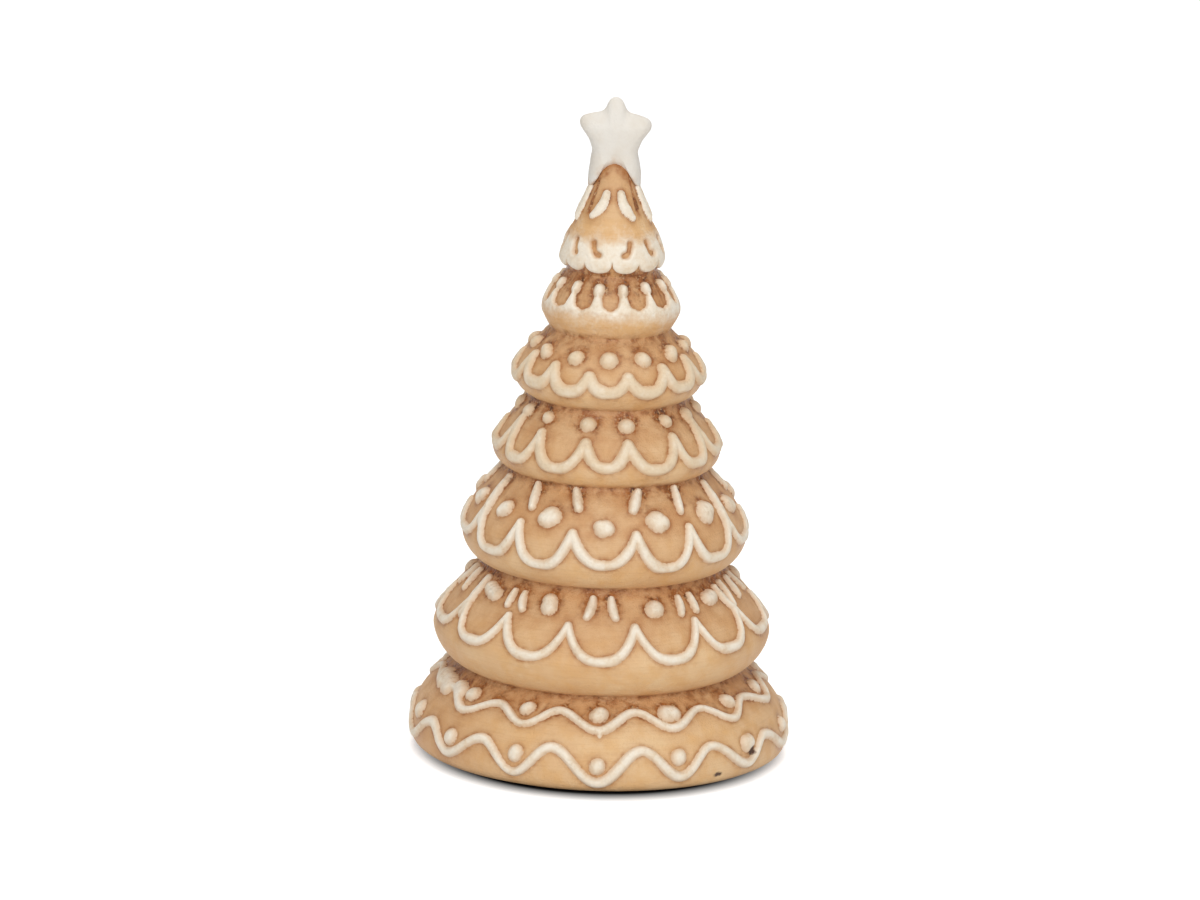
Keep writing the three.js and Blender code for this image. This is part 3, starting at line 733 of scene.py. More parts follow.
drops = spread(
    14, 0.5, (8.6, 3.0, 4.1), (0.6, 0.2, 0.2, 0.2),
    [
        (-67, 8.6, 3.0, 4.1), (-40, 8.7, 3.1, 4.1), (-12.9, 8.5, 3.1, 4.0), (12.3, 8.5, 2.8, 4.2),
        (40, 8.8, 3.1, 4.1), (67, 8.6, 3.0, 4.1),
    ],
)
following = np.r_[drops[1:, 0], drops[0, 0] + 360]
middles, widths = (drops[:, 0] + following) / 2, following - drops[:, 0]
steps = np.linspace(0, 3, 13)
openings = []
for middle, width in zip(middles, widths):
    lowest = 4.2 + rng.uniform(-0.25, 0.25)
    wider = (width - USUAL_OPENING) / 2 + (abs(abs(middle) - 53) < 6)
    across = np.interp(steps, range(4), OPENING_WIDTHS + wider)
    for side in (-1, 0, 1):
        way = np.linspace(lowest + 0.5 * abs(side), 9.4, len(steps))
        openings.append(stroke(middle + side * across, way, 1.3))
necks = dashes([(angle, angle, 7.4, 4.0) for angle in drops[:, 0]], (1.2, 0.9, 2.6))
cover = flooded(
    SIXTH,
    lambda degrees, way: 6.9 - way + 0 * degrees,
    lambda degrees, way: way + 3.6 + 0 * degrees, 5.0,
    lambda degrees, way: way - 0.8 + 0.6 * np.sin(degrees * DEGREE),
    openings, BAND_HEIGHT, [(dabs(drops, 0.15), DROP_HEIGHT, ROUND), (necks, BAND_HEIGHT, ROUND)],
)
icings.append(icing_skin("tier_6_teardrops", SIXTH, -4.2, 12.2, cover))

# %% Hooked openings of the cone, and pulls up to the star
notches = spread(12, 0, 0.6, (0.6, 0.1), [(-32, 0.1), (0, 0.7), (31, 0.3)])
hooks = np.array([-51, -24.5, 22.5, 47, 76, 104, 135, 165, -165, -135, -104, -78], dtype=float)
turns = np.where(np.abs(hooks) < 40, -np.sign(hooks), np.sign(hooks))
turns[0] = 0.4
steps = np.linspace(0, 4, 25)
openings = [
    stroke(
        hook + turn * np.interp(steps, range(5), (0, 1.0, 3.0, 6.0, 8.5)),
        np.interp(steps, range(5), (5.8, 4.6, 3.4, 2.8, 2.7)),
        np.interp(steps, range(5), (0.6, 0.5, 0.5, 0.7, 0.6)),
    )
    for hook, turn in zip(hooks, turns)
]
pulls = dashes([
    (-165, -143, 19.6, 11.6), (-106, -104, 19.6, 11.2), (-74, -76, 19.6, 11.2), (-17.5, -37, 19.0, 12.8),
    (16.5, 33, 19.0, 12.6), (74, 76, 19.6, 11.2), (106, 104, 19.6, 11.2), (165, 143, 19.6, 11.6),
], (2.2, 2.8, 3.2, 2.2), 2)
print("the cone has", len(openings), "openings and", len(pulls), "pulls")

# %% Band of the cone, with scallops
CONE_BAND_HEIGHT = 0.9
SCALLOP_HALF = 15.5


def hanging(degrees, way):
    """Millimetres above the cone's lower edge, which hangs between the notches as half an ellipse."""
    away = np.abs((degrees[..., None] - notches[:, 0] + 180) % 360 - 180).min(-1)
    drop = np.sqrt(1 - (1 - np.clip(away / SCALLOP_HALF, 0, 1)) ** 2.4)
    return way - (0.6 - 2.9 * drop)


cover = flooded(
    CONE, hanging,
    lambda degrees, way: 11.0 - way + 0 * degrees, 6.5,
    lambda degrees, way: 6.4 - way + 0 * degrees,
    openings, CONE_BAND_HEIGHT, [(pulls, CONE_BAND_HEIGHT, BAND_ROUND)],
)
icings.append(icing_skin("tier_7_scallops", CONE, -3.0, 21.4, cover))

# %% [markdown]
# ## The casting
#
# The body is the contour turned round the axis, one closed piece for each tier, with the joints hidden
# in the necks. Spin or a Screw modifier could turn it, but then the tool marks would have no place: a
# casting of this kind is rough beside its piping and in its necks, where the brown wash is caught. A
# grid of points lets us lower just those places, and keep for each point how far it lies from the icing
# and from the necks, which the paint needs.

# %% Lathe, and poles for its ends
def lathe(profile, angles):
    """Rings of points around the axis, one for each row of radius and level."""
    profile = np.array(profile, dtype=float).reshape(-1, 1, 2)
    radius, height = profile[..., 0], profile[..., 1]
    return np.stack([radius * np.sin(angles), -radius * np.cos(angles), height + 0 * angles], -1)


def cap_faces(ring, pole, below):
    """Triangles from a ring of points to a pole, which lies below it or above it."""
    following = np.roll(ring, -1)
    first, second = (following, ring) if below else (ring, following)
    return np.stack([first, second, np.full_like(ring, pole)], -1)


def closed_grid(grid, bottom, top):
    """Points, four-cornered faces and triangles of a grid around the axis that is closed by a pole at
    its lowest and at its highest row."""
    rows, columns = grid.shape[:2]
    count = rows * columns
    lowest, highest = np.arange(columns), np.arange(count - columns, count)
    caps = np.concatenate([cap_faces(lowest, count, True), cap_faces(highest, count + 1, False)])
    return np.concatenate([grid.reshape(-1, 3), [bottom, top]]), grid_faces(rows, columns), caps


print("one ring at radius 2:", lathe([(2, 0)], np.array([0, 90]) * DEGREE).round(3).tolist())

# %% Tool marks and chips
STAR_ARCH = 156.0
LOST_CHIPS = {"foot": [(39, -1.5, 1.2, 0.5), (53.8, 2.6, 1.5, 1.2)]}


def below_arch(points):
    """Millimetres of level under the arch between the star's legs, an upturned V over the cone's tip."""
    return STAR_ARCH - 0.9 * np.abs(points[..., 0] + 0.3) - points[..., 2]


def marks(tier, points, angles, walks, gap, fold):
    """Depth of the tool marks in millimetres, and of the chips: random lumps, cut to their upper part,
    near the icing and the necks, and small ovals where the casting has lost a chip."""
    close = 0.8 * np.exp(-np.maximum(gap, 0) / 1.1) * np.exp(-fold / 9) + np.exp(-fold / 2.6)
    rough = np.clip(lumps(points, 2.2, 5) + 0.6 * lumps(points, 1.1, 6) - 0.2, 0, 1.5)
    pit = chipped(tier, angles, walks, LOST_CHIPS.get(tier["name"], ()))
    pit = np.clip(pit + 0.5 * pit * lumps(points, 1.0, 8), 0, 1)
    return 0.26 * rough * np.clip(close, 0, 1) + 0.3 * pit, pit


print("the star's arch is", round(STAR_ARCH - CONE["top"], 1), "mm above the cone's side")

# %% Stain around the star
ARCH_STAIN = 1.5
GROOVE_FROM = 11


def under_star(points, angles, walks, gap):
    """The cone's millimetres from the icing and from its neck, made small where it is stained: under the
    star's arch, and in grooves at 49 and 131 degrees on both sides, each a bell of 9 degrees."""
    gap = np.minimum(gap, np.maximum(ARCH_STAIN * below_arch(points), 0))
    fold = np.broadcast_to((walks - CONE["start"])[:, None], gap.shape)
    side = (np.abs(np.abs(angles / DEGREE) - 90) - 41) / 9
    groove = np.exp(-side ** 2)[None] * np.clip((walks - GROOVE_FROM) / 2, 0, 1)[:, None]
    return gap + (0.3 - gap) * groove, fold + (2.0 - fold) * groove


print("the grooves of the cone start", GROOVE_FROM, "mm up")

# %% Shell of a tier
BODY_STEP = 0.4
MARK_FADE = 1.5


def shell(tier, below, above):
    """Closed surface of a tier: the contour turned round the axis, rings of radius and level below and
    above it, of which the first and the last are poles. The values are the millimetres from the icing
    and from the necks, the chips, and how much wash the surface holds together with painted side shade."""
    angles = np.linspace(-np.pi, np.pi, int(2 * np.pi * tier["reach"] / BODY_STEP), endpoint=False)
    walks = np.linspace(tier["start"], tier["end"], int((tier["end"] - tier["start"]) / BODY_STEP) + 1)
    points = place(tier, angles[None], walks[:, None], 0)
    gap = np.min([cover(angles, walks)["gap"] for cover in tier["covers"]], axis=0)
    fold = np.broadcast_to(from_necks(tier, walks)[:, None], gap.shape)
    if tier is CONE:
        gap, fold = under_star(points, angles, walks, gap)
    depth, pit = marks(tier, points, angles, walks, gap, fold)
    depth = depth * off_ends(tier, walks, MARK_FADE)[:, None]
    fillet = 0.6 * np.clip(1 - fold / 2.4, 0, 1) ** 2
    points = place(tier, angles[None], walks[:, None], fillet - depth)
    rings_below, rings_above = lathe(below[1:], angles), lathe(above[:-1], angles)
    ends = ((len(rings_below), len(rings_above)), (0, 0))
    values = dict(gap=np.clip(gap, -1, FAR), fold=fold, pit=pit, hollow=hollows(tier, angles, walks))
    values = {key: np.pad(value, ends, "edge") for key, value in values.items()}
    if tier is CONE:
        values["gap"][-len(rings_above):] = np.clip(ARCH_STAIN * below_arch(rings_above), 0, FAR)
    # The poles come last and take the value of the nearest ring.
    values = {key: np.r_[value.ravel(), value[0, 0], value[-1, 0]] for key, value in values.items()}
    grid = np.concatenate([rings_below, points, rings_above])
    poles = (0, 0, below[0][1]), (0, 0, above[-1][1])
    return add_mesh("casting_" + tier["name"], *closed_grid(grid, *poles), values)


# %% Turn the seven tiers
RECESS_RADIUS = 40.0
RECESS_LEVEL = 4.5
TIP_POINTS = 15

rim = FOOT["reach"] - FOOT["tuck"]
recess = [
    (0, RECESS_LEVEL), (30, RECESS_LEVEL), (RECESS_RADIUS - 0.4, RECESS_LEVEL),
    (RECESS_RADIUS, RECESS_LEVEL - 0.3), (RECESS_RADIUS, 1.5), (RECESS_RADIUS + 0.1, 1.0),
    (RECESS_RADIUS + 0.4, RIM_LEVEL), (rim - 0.6, RIM_LEVEL),
]
quarter = np.linspace(0, np.pi / 2, TIP_POINTS + 1)[1:]
tip_radius = CONE_TOP_RADIUS * np.cos(quarter) ** 0.9
tip = np.stack([tip_radius, CONE["top"] + CONE_TIP_HEIGHT * np.sin(quarter)], -1).tolist()
castings = []
for tier in TIERS:
    inner = tier["reach"] - tier["tuck"] - 1.2
    below = recess if tier is FOOT else [(0, tier["low"]), (inner, tier["low"])]
    above = tip if tier is CONE else [(tier["neck"] - 0.4, tier["top"] + 0.3), (0, tier["top"] + 0.4)]
    castings.append(shell(tier, below, above))

# %% [markdown]
# ## The star
#
# The star is a thick, soft shape that straddles the tip of the cone with two legs. Extruding an outline
# would give flat faces and hard edges. Here the outline is rounded first, by averaging it along its
# length, and then shrunk toward the middle while the surface swells out, so that front and back are one
# pillow with soft ridges toward the points.

# %% Outline of the star
STAR_MIDDLE = 162.2
STAR_TOP = 174.2
STAR_HALF_DEPTH = 3.5
OUTLINE_POINTS = 1200
OUTLINE_WINDOW = 41
STAR_CORNERS = [
    (0.0, 12.4), (1.4, 11.8), (2.2, 10.6), (2.7, 9.2), (3.6, 8.3), (6.3, 7.7), (8.5, 7.0), (9.4, 5.8),
    (9.2, 4.2), (8.0, 2.5), (6.9, 0.8), (5.9, -1.8), (6.4, -4.4), (6.8, -7.0), (6.9, -9.5), (6.7, -11.8),
    (5.8, -11.5), (4.4, -9.0), (2.4, -7.2), (0.0, -6.2),
]


def star_outline(count):
    """Outline of the star about its middle as angles and radii: straight lines between its corners,
    sampled in even steps and averaged over a window, which rounds the corners."""
    half = np.array(STAR_CORNERS)
    other = half[-2:0:-1] * (-1, 1)
    corners = np.concatenate([half, other, half[:1]])
    walked = np.r_[0, np.cumsum(np.hypot(*np.diff(corners, axis=0).T))]
    even = np.linspace(0, walked[-1], OUTLINE_POINTS, endpoint=False)
    x, z = (averaged(np.interp(even, walked, row), OUTLINE_WINDOW, "wrap") for row in corners.T)
    angle = np.arctan2(x, z)
    order = np.argsort(angle)
    steps = np.linspace(-np.pi, np.pi, count, endpoint=False)
    return steps, np.interp(steps, angle[order], np.hypot(x, z)[order], period=2 * np.pi)


print("the star is", 2 * max(x for x, _ in STAR_CORNERS), "mm wide before its corners are rounded")

# %% Star as a pillow
STAR_COLUMNS = 480
STAR_ROWS = 45


def star_side(share):
    """Half depth of the star from its middle, 0, to its outline, 1: a flat pillow."""
    return STAR_HALF_DEPTH * (1 - share ** 3.6) ** 0.6


angles, outline = star_outline(STAR_COLUMNS)
shares = np.sin(np.linspace(0, np.pi / 2, STAR_ROWS + 1)[1:])
share = np.r_[shares, shares[-2::-1]]
side = np.r_[-star_side(shares), star_side(shares)[-2::-1]]
x = share[:, None] * outline * np.sin(angles)
z = share[:, None] * outline * np.cos(angles)
z = z - 0.03 * x * np.clip((z + 4) / 4, 0, 1)
z = z + (STAR_TOP - STAR_MIDDLE - z.max())
spine = np.clip((z - 4) / 7, 0, 1)
legs = np.clip((-3.0 - z) / 7, 0, 1)
y = side[:, None] * (1 - 0.35 * spine + 0.35 * legs)
grid = np.stack([x - 0.1 * (1 - legs), y, z + STAR_MIDDLE], -1)
grid = grid + 0.05 * lumps(grid, 4.0, 12)[..., None] * (1, 1, 0)
arch = np.clip(-below_arch(grid), 0, FAR)
star = add_mesh(
    "star_icing", *closed_grid(grid, grid[0].mean(axis=0), grid[-1].mean(axis=0)),
    {"arch": np.r_[arch.ravel(), FAR, FAR]},
)

# %% [markdown]
# ## The felt
#
# A disc of felt closes the recess under the foot. Its edge is cut with a punch, so it is square, but the
# fibres stand up a little. A lathe of a rounded rectangle with small seeded lumps gives that.

# %% Felt disc
FELT_RADIUS = RECESS_RADIUS - 0.3
FELT_THICKNESS = 1.5
FELT_COLUMNS = 360

under_side = [(6, 0), (14, 0), (22, 0), (30, 0), (36, 0), (38.8, 0), (39.35, 0.05), (39.62, 0.2)]
edge = [(FELT_RADIUS, 0.5), (FELT_RADIUS, 1.0)]
upper_side = [(radius, FELT_THICKNESS - level) for radius, level in under_side[:3:-1]]
profile = under_side + edge + upper_side + [(20, FELT_THICKNESS), (6, FELT_THICKNESS)]
grid = lathe(profile, np.linspace(-np.pi, np.pi, FELT_COLUMNS, endpoint=False))
fibre = 0.06 * lumps(grid, 1.2, 9).clip(-1, 0)
grid[..., :2] *= 1 + fibre[..., None] / FELT_RADIUS
felt = add_mesh("felt_pad", *closed_grid(grid, (0, 0, 0), (0, 0, FELT_THICKNESS)))

# %% [markdown]
# ## Paint as expressions
#
# The finish of the real casting is tan paint, a brown wash caught in every hollow, and cream on the
# raised lines. Each is a mask mixed from noise and from the values kept with the points. Node trees
# drawn by hand get hard to read, so a small class lets Python's operators add the Math nodes, and one
# method makes every other node.

# %% Colours
def colour(red, green, blue):
    """Linear colour for Blender from the 0 to 255 values that a picture editor shows."""
    value = np.array([red, green, blue]) / 255
    return (*np.where(value < 0.04045, value / 12.92, ((value + 0.055) / 1.055) ** 2.4).tolist(), 1.0)


print("half grey is", round(colour(128, 128, 128)[0], 3), "in linear light")

# %% Numbers over a surface
def operator(operation, reflected=False):
    """A method that adds a Math node for itself and another value, or the other way round."""
    if reflected:
        return lambda self, other: self.math(operation, other, self)
    return lambda self, other: self.math(operation, self, other)


class Field:
    """A number that varies over a surface: a socket of a tree. Operators on it add Math nodes."""

    def __init__(self, tree, socket):
        """The tree that nodes are added to, and the socket that gives the number."""
        self.tree, self.socket = tree, socket

    def math(self, operation, *values, clamp=False):
        """A Math node over values, of which self is one."""
        return self.tree.add("ShaderNodeMath", dict(operation=operation, use_clamp=clamp), *values)

    __add__ = __radd__ = operator("ADD")
    __mul__ = __rmul__ = operator("MULTIPLY")
    __sub__, __rsub__ = operator("SUBTRACT"), operator("SUBTRACT", reflected=True)
    __truediv__, __rtruediv__ = operator("DIVIDE"), operator("DIVIDE", reflected=True)
    __pow__, __rpow__ = operator("POWER"), operator("POWER", reflected=True)

    def clamp(self):
        """The number, cut to between 0 and 1."""
        return self.math("ADD", self, 0, clamp=True)

    def fade(self, start, end):
        """1 at start and 0 at end, straight between them."""
        return self.math("MULTIPLY", self - end, 1 / (start - end), clamp=True)


print("a field can", ", ".join(name for name in dir(Field) if not name.startswith("_")))

# %% Node trees
class Tree:
    """A node tree under construction. In the names of sockets, _ stands for a space."""

    def __init__(self, owner, last):
        """Takes the owner's tree and keeps the node named last, whose sockets are set at the end."""
        owner.use_nodes = True
        self.nodes, self.links = owner.node_tree.nodes, owner.node_tree.links
        self.last = self.nodes[last]

    def add(self, kind, settings, *values, sockets=(), output=0, **named):
        """A node of a kind: its settings first, then the values or links of its sockets, which are the
        first ones or those in a list of numbers, and those with names."""
        node = self.nodes.new(kind)
        for key, value in settings.items():
            setattr(node, key, value)
        for index, value in zip(sockets or range(len(values)), values):
            self.put(node.inputs[index], value)
        for key, value in named.items():
            self.put(node.inputs[key.replace("_", " ")], value)
        return Field(self, node.outputs[output])

    def put(self, socket, value):
        """A value or a link on a socket."""
        if isinstance(value, Field):
            self.links.new(value.socket, socket)
        else:
            socket.default_value = value

    def set(self, **sockets):
        """Values or links on the sockets of the last node."""
        for key, value in sockets.items():
            self.put(self.last.inputs[key.replace("_", " ")], value)


print("a tree can", ", ".join(name for name in dir(Tree) if not name.startswith("_")))

# %% Paints
class Paint(Tree):
    """A material under construction, with the shader as the node whose sockets are set."""

    def __init__(self, name):
        """A new material, and the place on the object that its patterns are read from."""
        self.material = bpy.data.materials.new(name)
        super().__init__(self.material, "Principled BSDF")
        self.place = self.add("ShaderNodeTexCoord", {}, output="Object")

    def finish(self):
        """The finished material."""
        print(self.material.name, "has", len(self.nodes), "nodes")
        return self.material

    def value(self, name):
        """A value that the mesh keeps for each point."""
        return self.add("ShaderNodeAttribute", dict(attribute_name=name), output="Fac")

    def noise(self, size, stretch=(1, 1, 1), detail=3.0, roughness=0.55):
        """Noise from about 0.3 to 0.7, with features of a size in millimetres."""
        scale = tuple(1 / (size * MM * s) for s in stretch)
        vector = self.add("ShaderNodeVectorMath", dict(operation="MULTIPLY"), self.place, scale)
        settings = dict(Scale=1.0, Detail=detail, Roughness=roughness)
        return self.add("ShaderNodeTexNoise", {}, Vector=vector, **settings)

    def mix(self, factor, first, second):
        """One colour over another by a factor."""
        inputs = dict(sockets=(0, 6, 7), output=2)
        return self.add("ShaderNodeMix", dict(data_type="RGBA"), factor, first, second, **inputs)

    def bump(self, height, distance):
        """Fine relief from a height of 0 to 1, over a distance in millimetres."""
        sockets = dict(Strength=1.0, Distance=distance * MM, Height=height)
        self.set(Normal=self.add("ShaderNodeBump", {}, **sockets))


print("a paint can", ", ".join(name for name in dir(Paint) if not name.startswith("_")))

# %% [markdown]
# ## Tan, stained and wiped
#
# The casting was painted tan, washed with brown, and wiped with a cloth that went round the tree. So
# the brown stays beside the beads and in the necks, and faint level streaks run round the bulges. Shade
# is painted in as well: darker in the necks and on the sides that turn away from the front, with pale
# painted glints in the pockets. A picture could hold all that, but a recipe from noise and distances
# works from every side. The icing was painted tan and stained as well before it got its cream, so both
# paints start from one recipe.

# %% Tans and browns
TAN = colour(227, 183, 132)
TAN_PALE = colour(237, 200, 152)
TAN_WARM = colour(227, 174, 108)
TAN_DEEP = colour(207, 154, 105)
STAIN_AND_SHADE = colour(166, 102, 50)
DARK = colour(98, 57, 28)
BARE_CLAY = colour(84, 60, 44)
print("the tan is", [round(value, 2) for value in TAN[:3]], "in linear light")

# %% Tan layer
def tan_layer(paint):
    """Colour of the stained tan, with painted shade and painted glints, how brown it is, and the fine
    grain that both paints share.
    """
    gap, fold, hollow = (paint.value(name) for name in ("gap", "fold", "hollow"))
    cloud = paint.noise(16).fade(0.62, 0.38)
    patch = paint.noise(5, detail=4).fade(0.64, 0.42)
    blotch = paint.noise(2.4, detail=4).fade(0.63, 0.42)
    grain = paint.noise(1.0, detail=4).fade(0.66, 0.38)
    speck = paint.noise(0.5, detail=3).fade(0.64, 0.4)
    streak = paint.noise(0.8, stretch=(14, 14, 0.5), detail=3).fade(0.66, 0.5)
    tan = paint.mix(cloud, TAN, TAN_PALE)
    tan = paint.mix(patch * 0.5, tan, TAN_WARM)
    # The wash and the painted shade of the sides deepen the tan.
    tan = paint.mix(hollow * (0.38 + patch * 0.3 + blotch * 0.2), tan, TAN_DEEP)
    inside = 0.6 + 0.4 * (hollow * 3).clamp()
    near = (1 - (gap / 2.2).clamp()) * inside
    halo = (1 - (gap / 3.4).clamp()) ** 1.4 * inside
    # Darker toward the necks: brown wash caught in the crease together with painted shade of the crease.
    low = 1 - (fold / (3 + 3 * cloud)).clamp()
    line = (1 - gap.clamp()) * (0.1 + near * 0.08 + blotch * 0.4)
    pocket = near * (1 - (fold / 10).clamp()) * (0.5 + blotch * 1.2)
    brown = halo * (0.24 + patch * 0.18) + line + pocket
    brown = brown + low ** 1.5 * (0.4 + blotch * 0.8) + streak * 0.09
    tan = paint.mix(brown.clamp(), tan, STAIN_AND_SHADE)
    dark = (pocket + low ** 2 * 0.6) * (blotch + grain - 0.85)
    tan = paint.mix(dark.clamp(), tan, DARK)
    # Painted highlight: pale glints in the pockets and the necks.
    painted_glint = paint.noise(0.8, detail=2).fade(0.64, 0.56) * (pocket + low ** 2 * 0.5)
    tan = paint.mix(painted_glint.clamp() * 0.6, tan, TAN_PALE)
    return tan, brown.clamp(), grain, speck


print("the wash turns it", [round(value, 2) for value in STAIN_AND_SHADE[:3]])

# %% Paint of the casting
paint = Paint("stained_gingerbread")
tan, brown, grain, speck = tan_layer(paint)
pit = paint.value("pit").clamp()
paint.set(Base_Color=paint.mix((pit * 1.6).clamp(), tan, BARE_CLAY), Roughness=0.55 - 0.25 * brown)
paint.bump(grain * 0.6 + speck * 0.5, 0.08)
tan_paint = paint.finish()

# %% [markdown]
# ## Cream on the raised lines
#
# The cream was brushed over the raised icing only, so it is thickest on the crowns and gets thin toward
# the edges, where the brown wash shows through. The value kept with the points, 0 on the crown and 1 at
# the edge, drives that, and the value for bare icing ends the cream where a band runs out flat.

# %% Paint of the icing
CREAM = colour(250, 239, 221)
CREAM_WORN = colour(234, 211, 178)
CREAM_EDGE = colour(216, 176, 132)
CHIPPED_ICING = colour(92, 60, 40)

paint = Paint("cream_icing")
tan, brown, grain, speck = tan_layer(paint)
rise, bare, worn = map(paint.value, ("rise", "bare", "worn"))
cloud = paint.noise(5).fade(0.64, 0.4)
cream = paint.mix((worn + cloud * 0.5 + grain * 0.25).clamp(), CREAM, CREAM_WORN)
cream = paint.mix(rise.fade(1.0, 0.3) * 0.75, cream, CREAM_EDGE)
thin = rise + 0.22 * (grain - 0.5)
ragged = bare + 0.25 * (cloud - 0.5) + 0.15 * (grain - 0.5)
surface = paint.mix(thin.fade(0.9, 1.08) * ragged.fade(0.05, 0.95), tan, cream)
pit = (paint.value("pit").clamp() * 1.5 + 0.4 * (grain - 0.5)).fade(1.0, 0.5)
paint.set(Base_Color=paint.mix(pit, surface, CHIPPED_ICING), Roughness=0.5 + 0.1 * grain)
paint.bump(grain * 0.7 + speck * 0.3, 0.08)
cream_paint = paint.finish()

# %% Paint of the star
paint = Paint("star_cream")
arch = paint.value("arch")
cloud, grain = paint.noise(5).fade(0.64, 0.4), paint.noise(0.9, detail=4).fade(0.66, 0.38)
white = paint.mix(cloud * 0.6, colour(234, 228, 218), colour(228, 218, 203))
stained = (1 - (arch / (1.6 + 3 * cloud)).clamp()) ** 1.4 * (0.5 + 0.5 * grain)
white = paint.mix(stained.clamp(), white, colour(198, 150, 100))
paint.set(Base_Color=white, Roughness=0.5 + 0.1 * grain)
paint.bump(grain, 0.05)
star_paint = paint.finish()

# %% [markdown]
# ## Plate and felt
#
# Both are seen only from below. The plate is moulded and has a fine even grain, and the felt is pressed
# from fibres that lie in all directions, so its colour and height come from two crossed noises.

# %% Paints under the foot
paint = Paint("moulded_plate")
grain = paint.noise(0.4, detail=2)
paint.set(Base_Color=paint.mix(grain.fade(0.7, 0.3), colour(196, 178, 150), colour(178, 160, 133)))
paint.set(Roughness=0.55 + 0.1 * grain)
paint.bump(grain, 0.03)
plate_paint = paint.finish()

paint = Paint("pressed_felt")
long_way = paint.noise(0.5, stretch=(4, 0.6, 1))
across = paint.noise(0.5, stretch=(0.6, 4, 1))
fibre = (long_way + across) / 2
paint.set(Base_Color=paint.mix(fibre.fade(0.6, 0.4), colour(122, 88, 62), colour(96, 66, 45)))
paint.set(Roughness=0.95)
paint.bump(fibre, 0.15)
felt_paint = paint.finish()

# %% [markdown]
# ## Onto the frame
#
# Each piece names the body that it moves with, the parts of the frame that it stands for, and the slot
# that its finish belongs to. The plate of the frame already has the right shape and only gets its paint.

# %% Bind the pieces
bindings = [
    *[(casting, tan_paint, "gingerbread", "tree_body") for casting in castings],
    *[(icing, cream_paint, "icing", "icing_" + icing.name) for icing in icings],
    (star, star_paint, "star_icing", "star"),
    (felt, felt_paint, "felt", "felt_disc"),
]
for piece, material, slot, node in bindings:
    piece.data.materials.append(material)
    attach(piece, "root")
    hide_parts(node)
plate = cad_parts["closing_plate"]
for material_slot in plate.material_slots:
    material_slot.material = plate_paint
print(len(bindings), "pieces bound")

# %% [markdown]
# ## Floor, light and camera
#
# The picture is a plain product shot: white all round, a wide soft light from the front and above, and
# a thin dark shadow close under the foot. The floor shows as white to the camera through a little
# emission that only camera rays see, so no extra light falls on the tree. Hardly any light gets into
# the narrow place between the foot and the table, and the floor's colour falls off toward it.

# %% Floor
BLACK, NEARLY_BLACK, PALE, WHITE = ((value, value, value, 1.0) for value in (0.0, 0.02, 0.82, 1.0))
SHADOW_CENTRE = (0, -0.005, 0)
SHADOW_INSIDE, SHADOW_OUTSIDE = 0.0416, 0.0500
GLOW = 0.6

corners = np.array([(-6000, -6000, 0), (6000, -6000, 0), (6000, 9000, 0), (-6000, 9000, 0)])
floor = add_mesh("floor", corners, [(0, 1, 2, 3)])
paint = Paint("white_floor")
moved = paint.add("ShaderNodeVectorMath", dict(operation="SUBTRACT"), paint.place, SHADOW_CENTRE)
away = paint.add("ShaderNodeVectorMath", dict(operation="LENGTH"), moved, output="Value")
# Painted shadow: the floor's colour and its glow go nearly black toward the foot.
outside_painted_shadow = away.fade(SHADOW_OUTSIDE, SHADOW_INSIDE)
seen = paint.add("ShaderNodeLightPath", {}, output="Is Camera Ray")
mirrored = paint.add("ShaderNodeLightPath", {}, output="Is Glossy Ray")
glow = (seen + mirrored).clamp() * outside_painted_shadow * GLOW
paint.set(Base_Color=paint.mix(outside_painted_shadow, NEARLY_BLACK, PALE), Roughness=0.9)
paint.set(Emission_Color=paint.mix(glow, BLACK, WHITE), Emission_Strength=1.0)
floor.data.materials.append(paint.finish())

# %% World
LIGHT_FROM_AROUND = 0.42
BACKDROP_LIGHT = 1.0

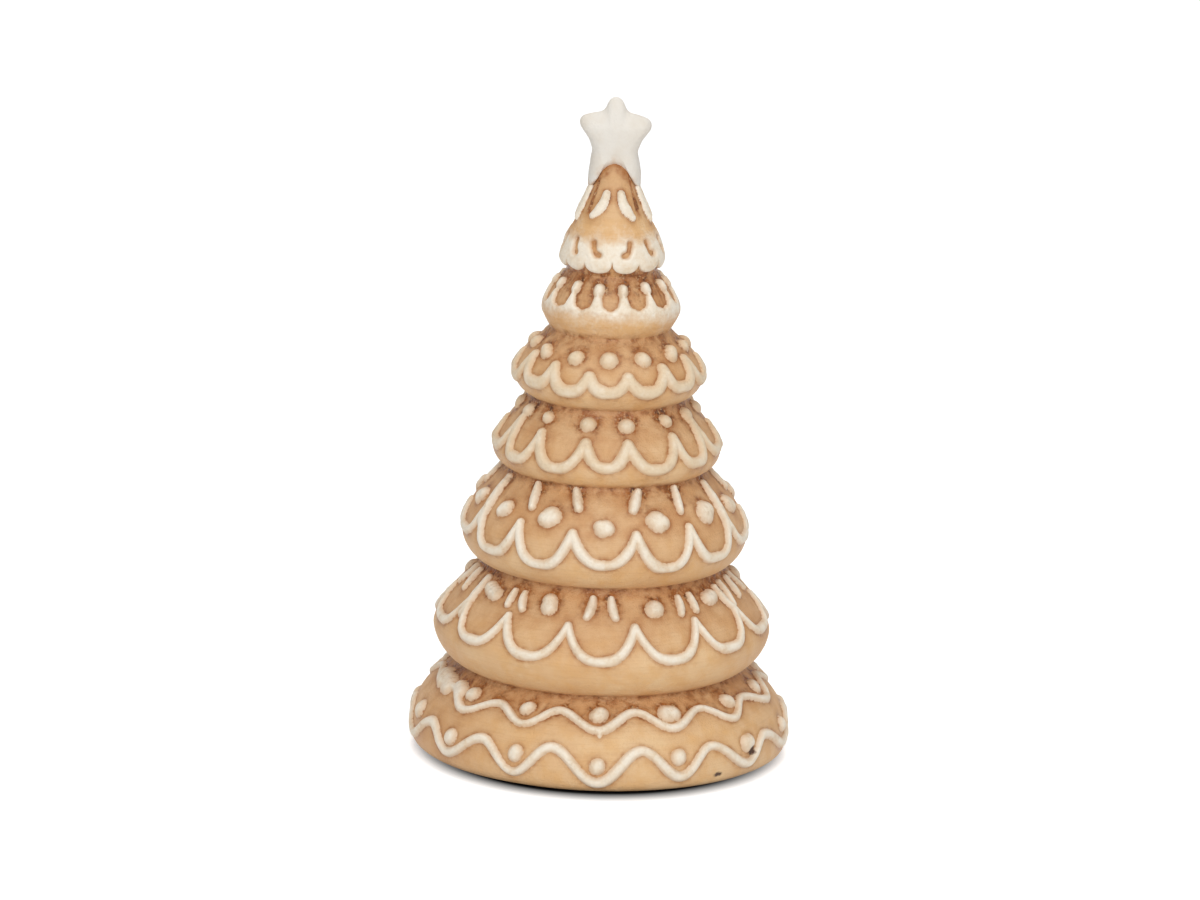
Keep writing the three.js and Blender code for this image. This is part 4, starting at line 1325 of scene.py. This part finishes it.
scene.world = bpy.data.worlds.new("studio")
studio = Tree(scene.world, "World Output")
around = studio.add("ShaderNodeBackground", {}, Color=WHITE, Strength=LIGHT_FROM_AROUND)
backdrop = studio.add("ShaderNodeBackground", {}, Color=WHITE, Strength=BACKDROP_LIGHT)
seen = studio.add("ShaderNodeLightPath", {}, output="Is Camera Ray")
studio.set(Surface=studio.add("ShaderNodeMixShader", {}, seen, around, backdrop))
studio.nodes.remove(studio.nodes["Background"])
print("the world has", len(studio.nodes), "nodes")

# %% Lamps
LIT_POINT = np.array([0, 0, 80]) * MM


def soft_light(name, position, size, power):
    """A square area lamp in millimetres and watts that faces the middle of the tree."""
    lamp = bpy.data.lights.new(name, "AREA")
    lamp.size = size * MM
    lamp.energy = power
    holder = bpy.data.objects.new(name, lamp)
    scene.collection.objects.link(holder)
    position = np.array(position, dtype=float) * MM
    away = position - LIT_POINT
    turn = math.atan2(away[0], -away[1])
    tilt = math.atan2(math.hypot(away[0], away[1]), away[2])
    turned = Matrix.Rotation(turn, 4, "Z") @ Matrix.Rotation(tilt, 4, "X")
    holder.matrix_world = Matrix.Translation(position) @ turned
    print(name, "lamp is", round(float(np.linalg.norm(away)), 2), "m away")


soft_light("key", (-100, -1450, 1100), 1100, 13.0)
soft_light("fill", (900, -1200, 700), 1000, 2.2)
soft_light("top", (0, 200, 1500), 900, 5.5)

# %% Camera
CAMERA_TARGET = np.array([-1.72, 0, 79.90]) * MM
CAMERA_RISE = 13.855 * DEGREE
CAMERA_ROLL = 1.689 * DEGREE
CAMERA_DISTANCE = 1787.2 * MM
FOCAL_PIXELS = 6815.4
IMAGE_WIDTH = 1200
SENSOR = 36.0

view = bpy.data.cameras.new("camera")
view.sensor_width = SENSOR
view.lens = FOCAL_PIXELS * SENSOR / IMAGE_WIDTH
view.clip_start, view.clip_end = 0.05, 50.0
camera = bpy.data.objects.new("camera", view)
scene.collection.objects.link(camera)
back = np.array([0, -math.cos(CAMERA_RISE), math.sin(CAMERA_RISE)]) * CAMERA_DISTANCE
camera.matrix_world = (
    Matrix.Translation(CAMERA_TARGET + back)
    @ Matrix.Rotation(math.pi / 2 - CAMERA_RISE, 4, "X")
    @ Matrix.Rotation(CAMERA_ROLL, 4, "Z")
)
scene.camera = camera
scene.view_settings.view_transform = "Standard"
print("lens", round(view.lens, 1), "mm, from", round(CAMERA_DISTANCE, 2), "m away")

# %% Update the scene, and finish
bpy.context.view_layer.update()
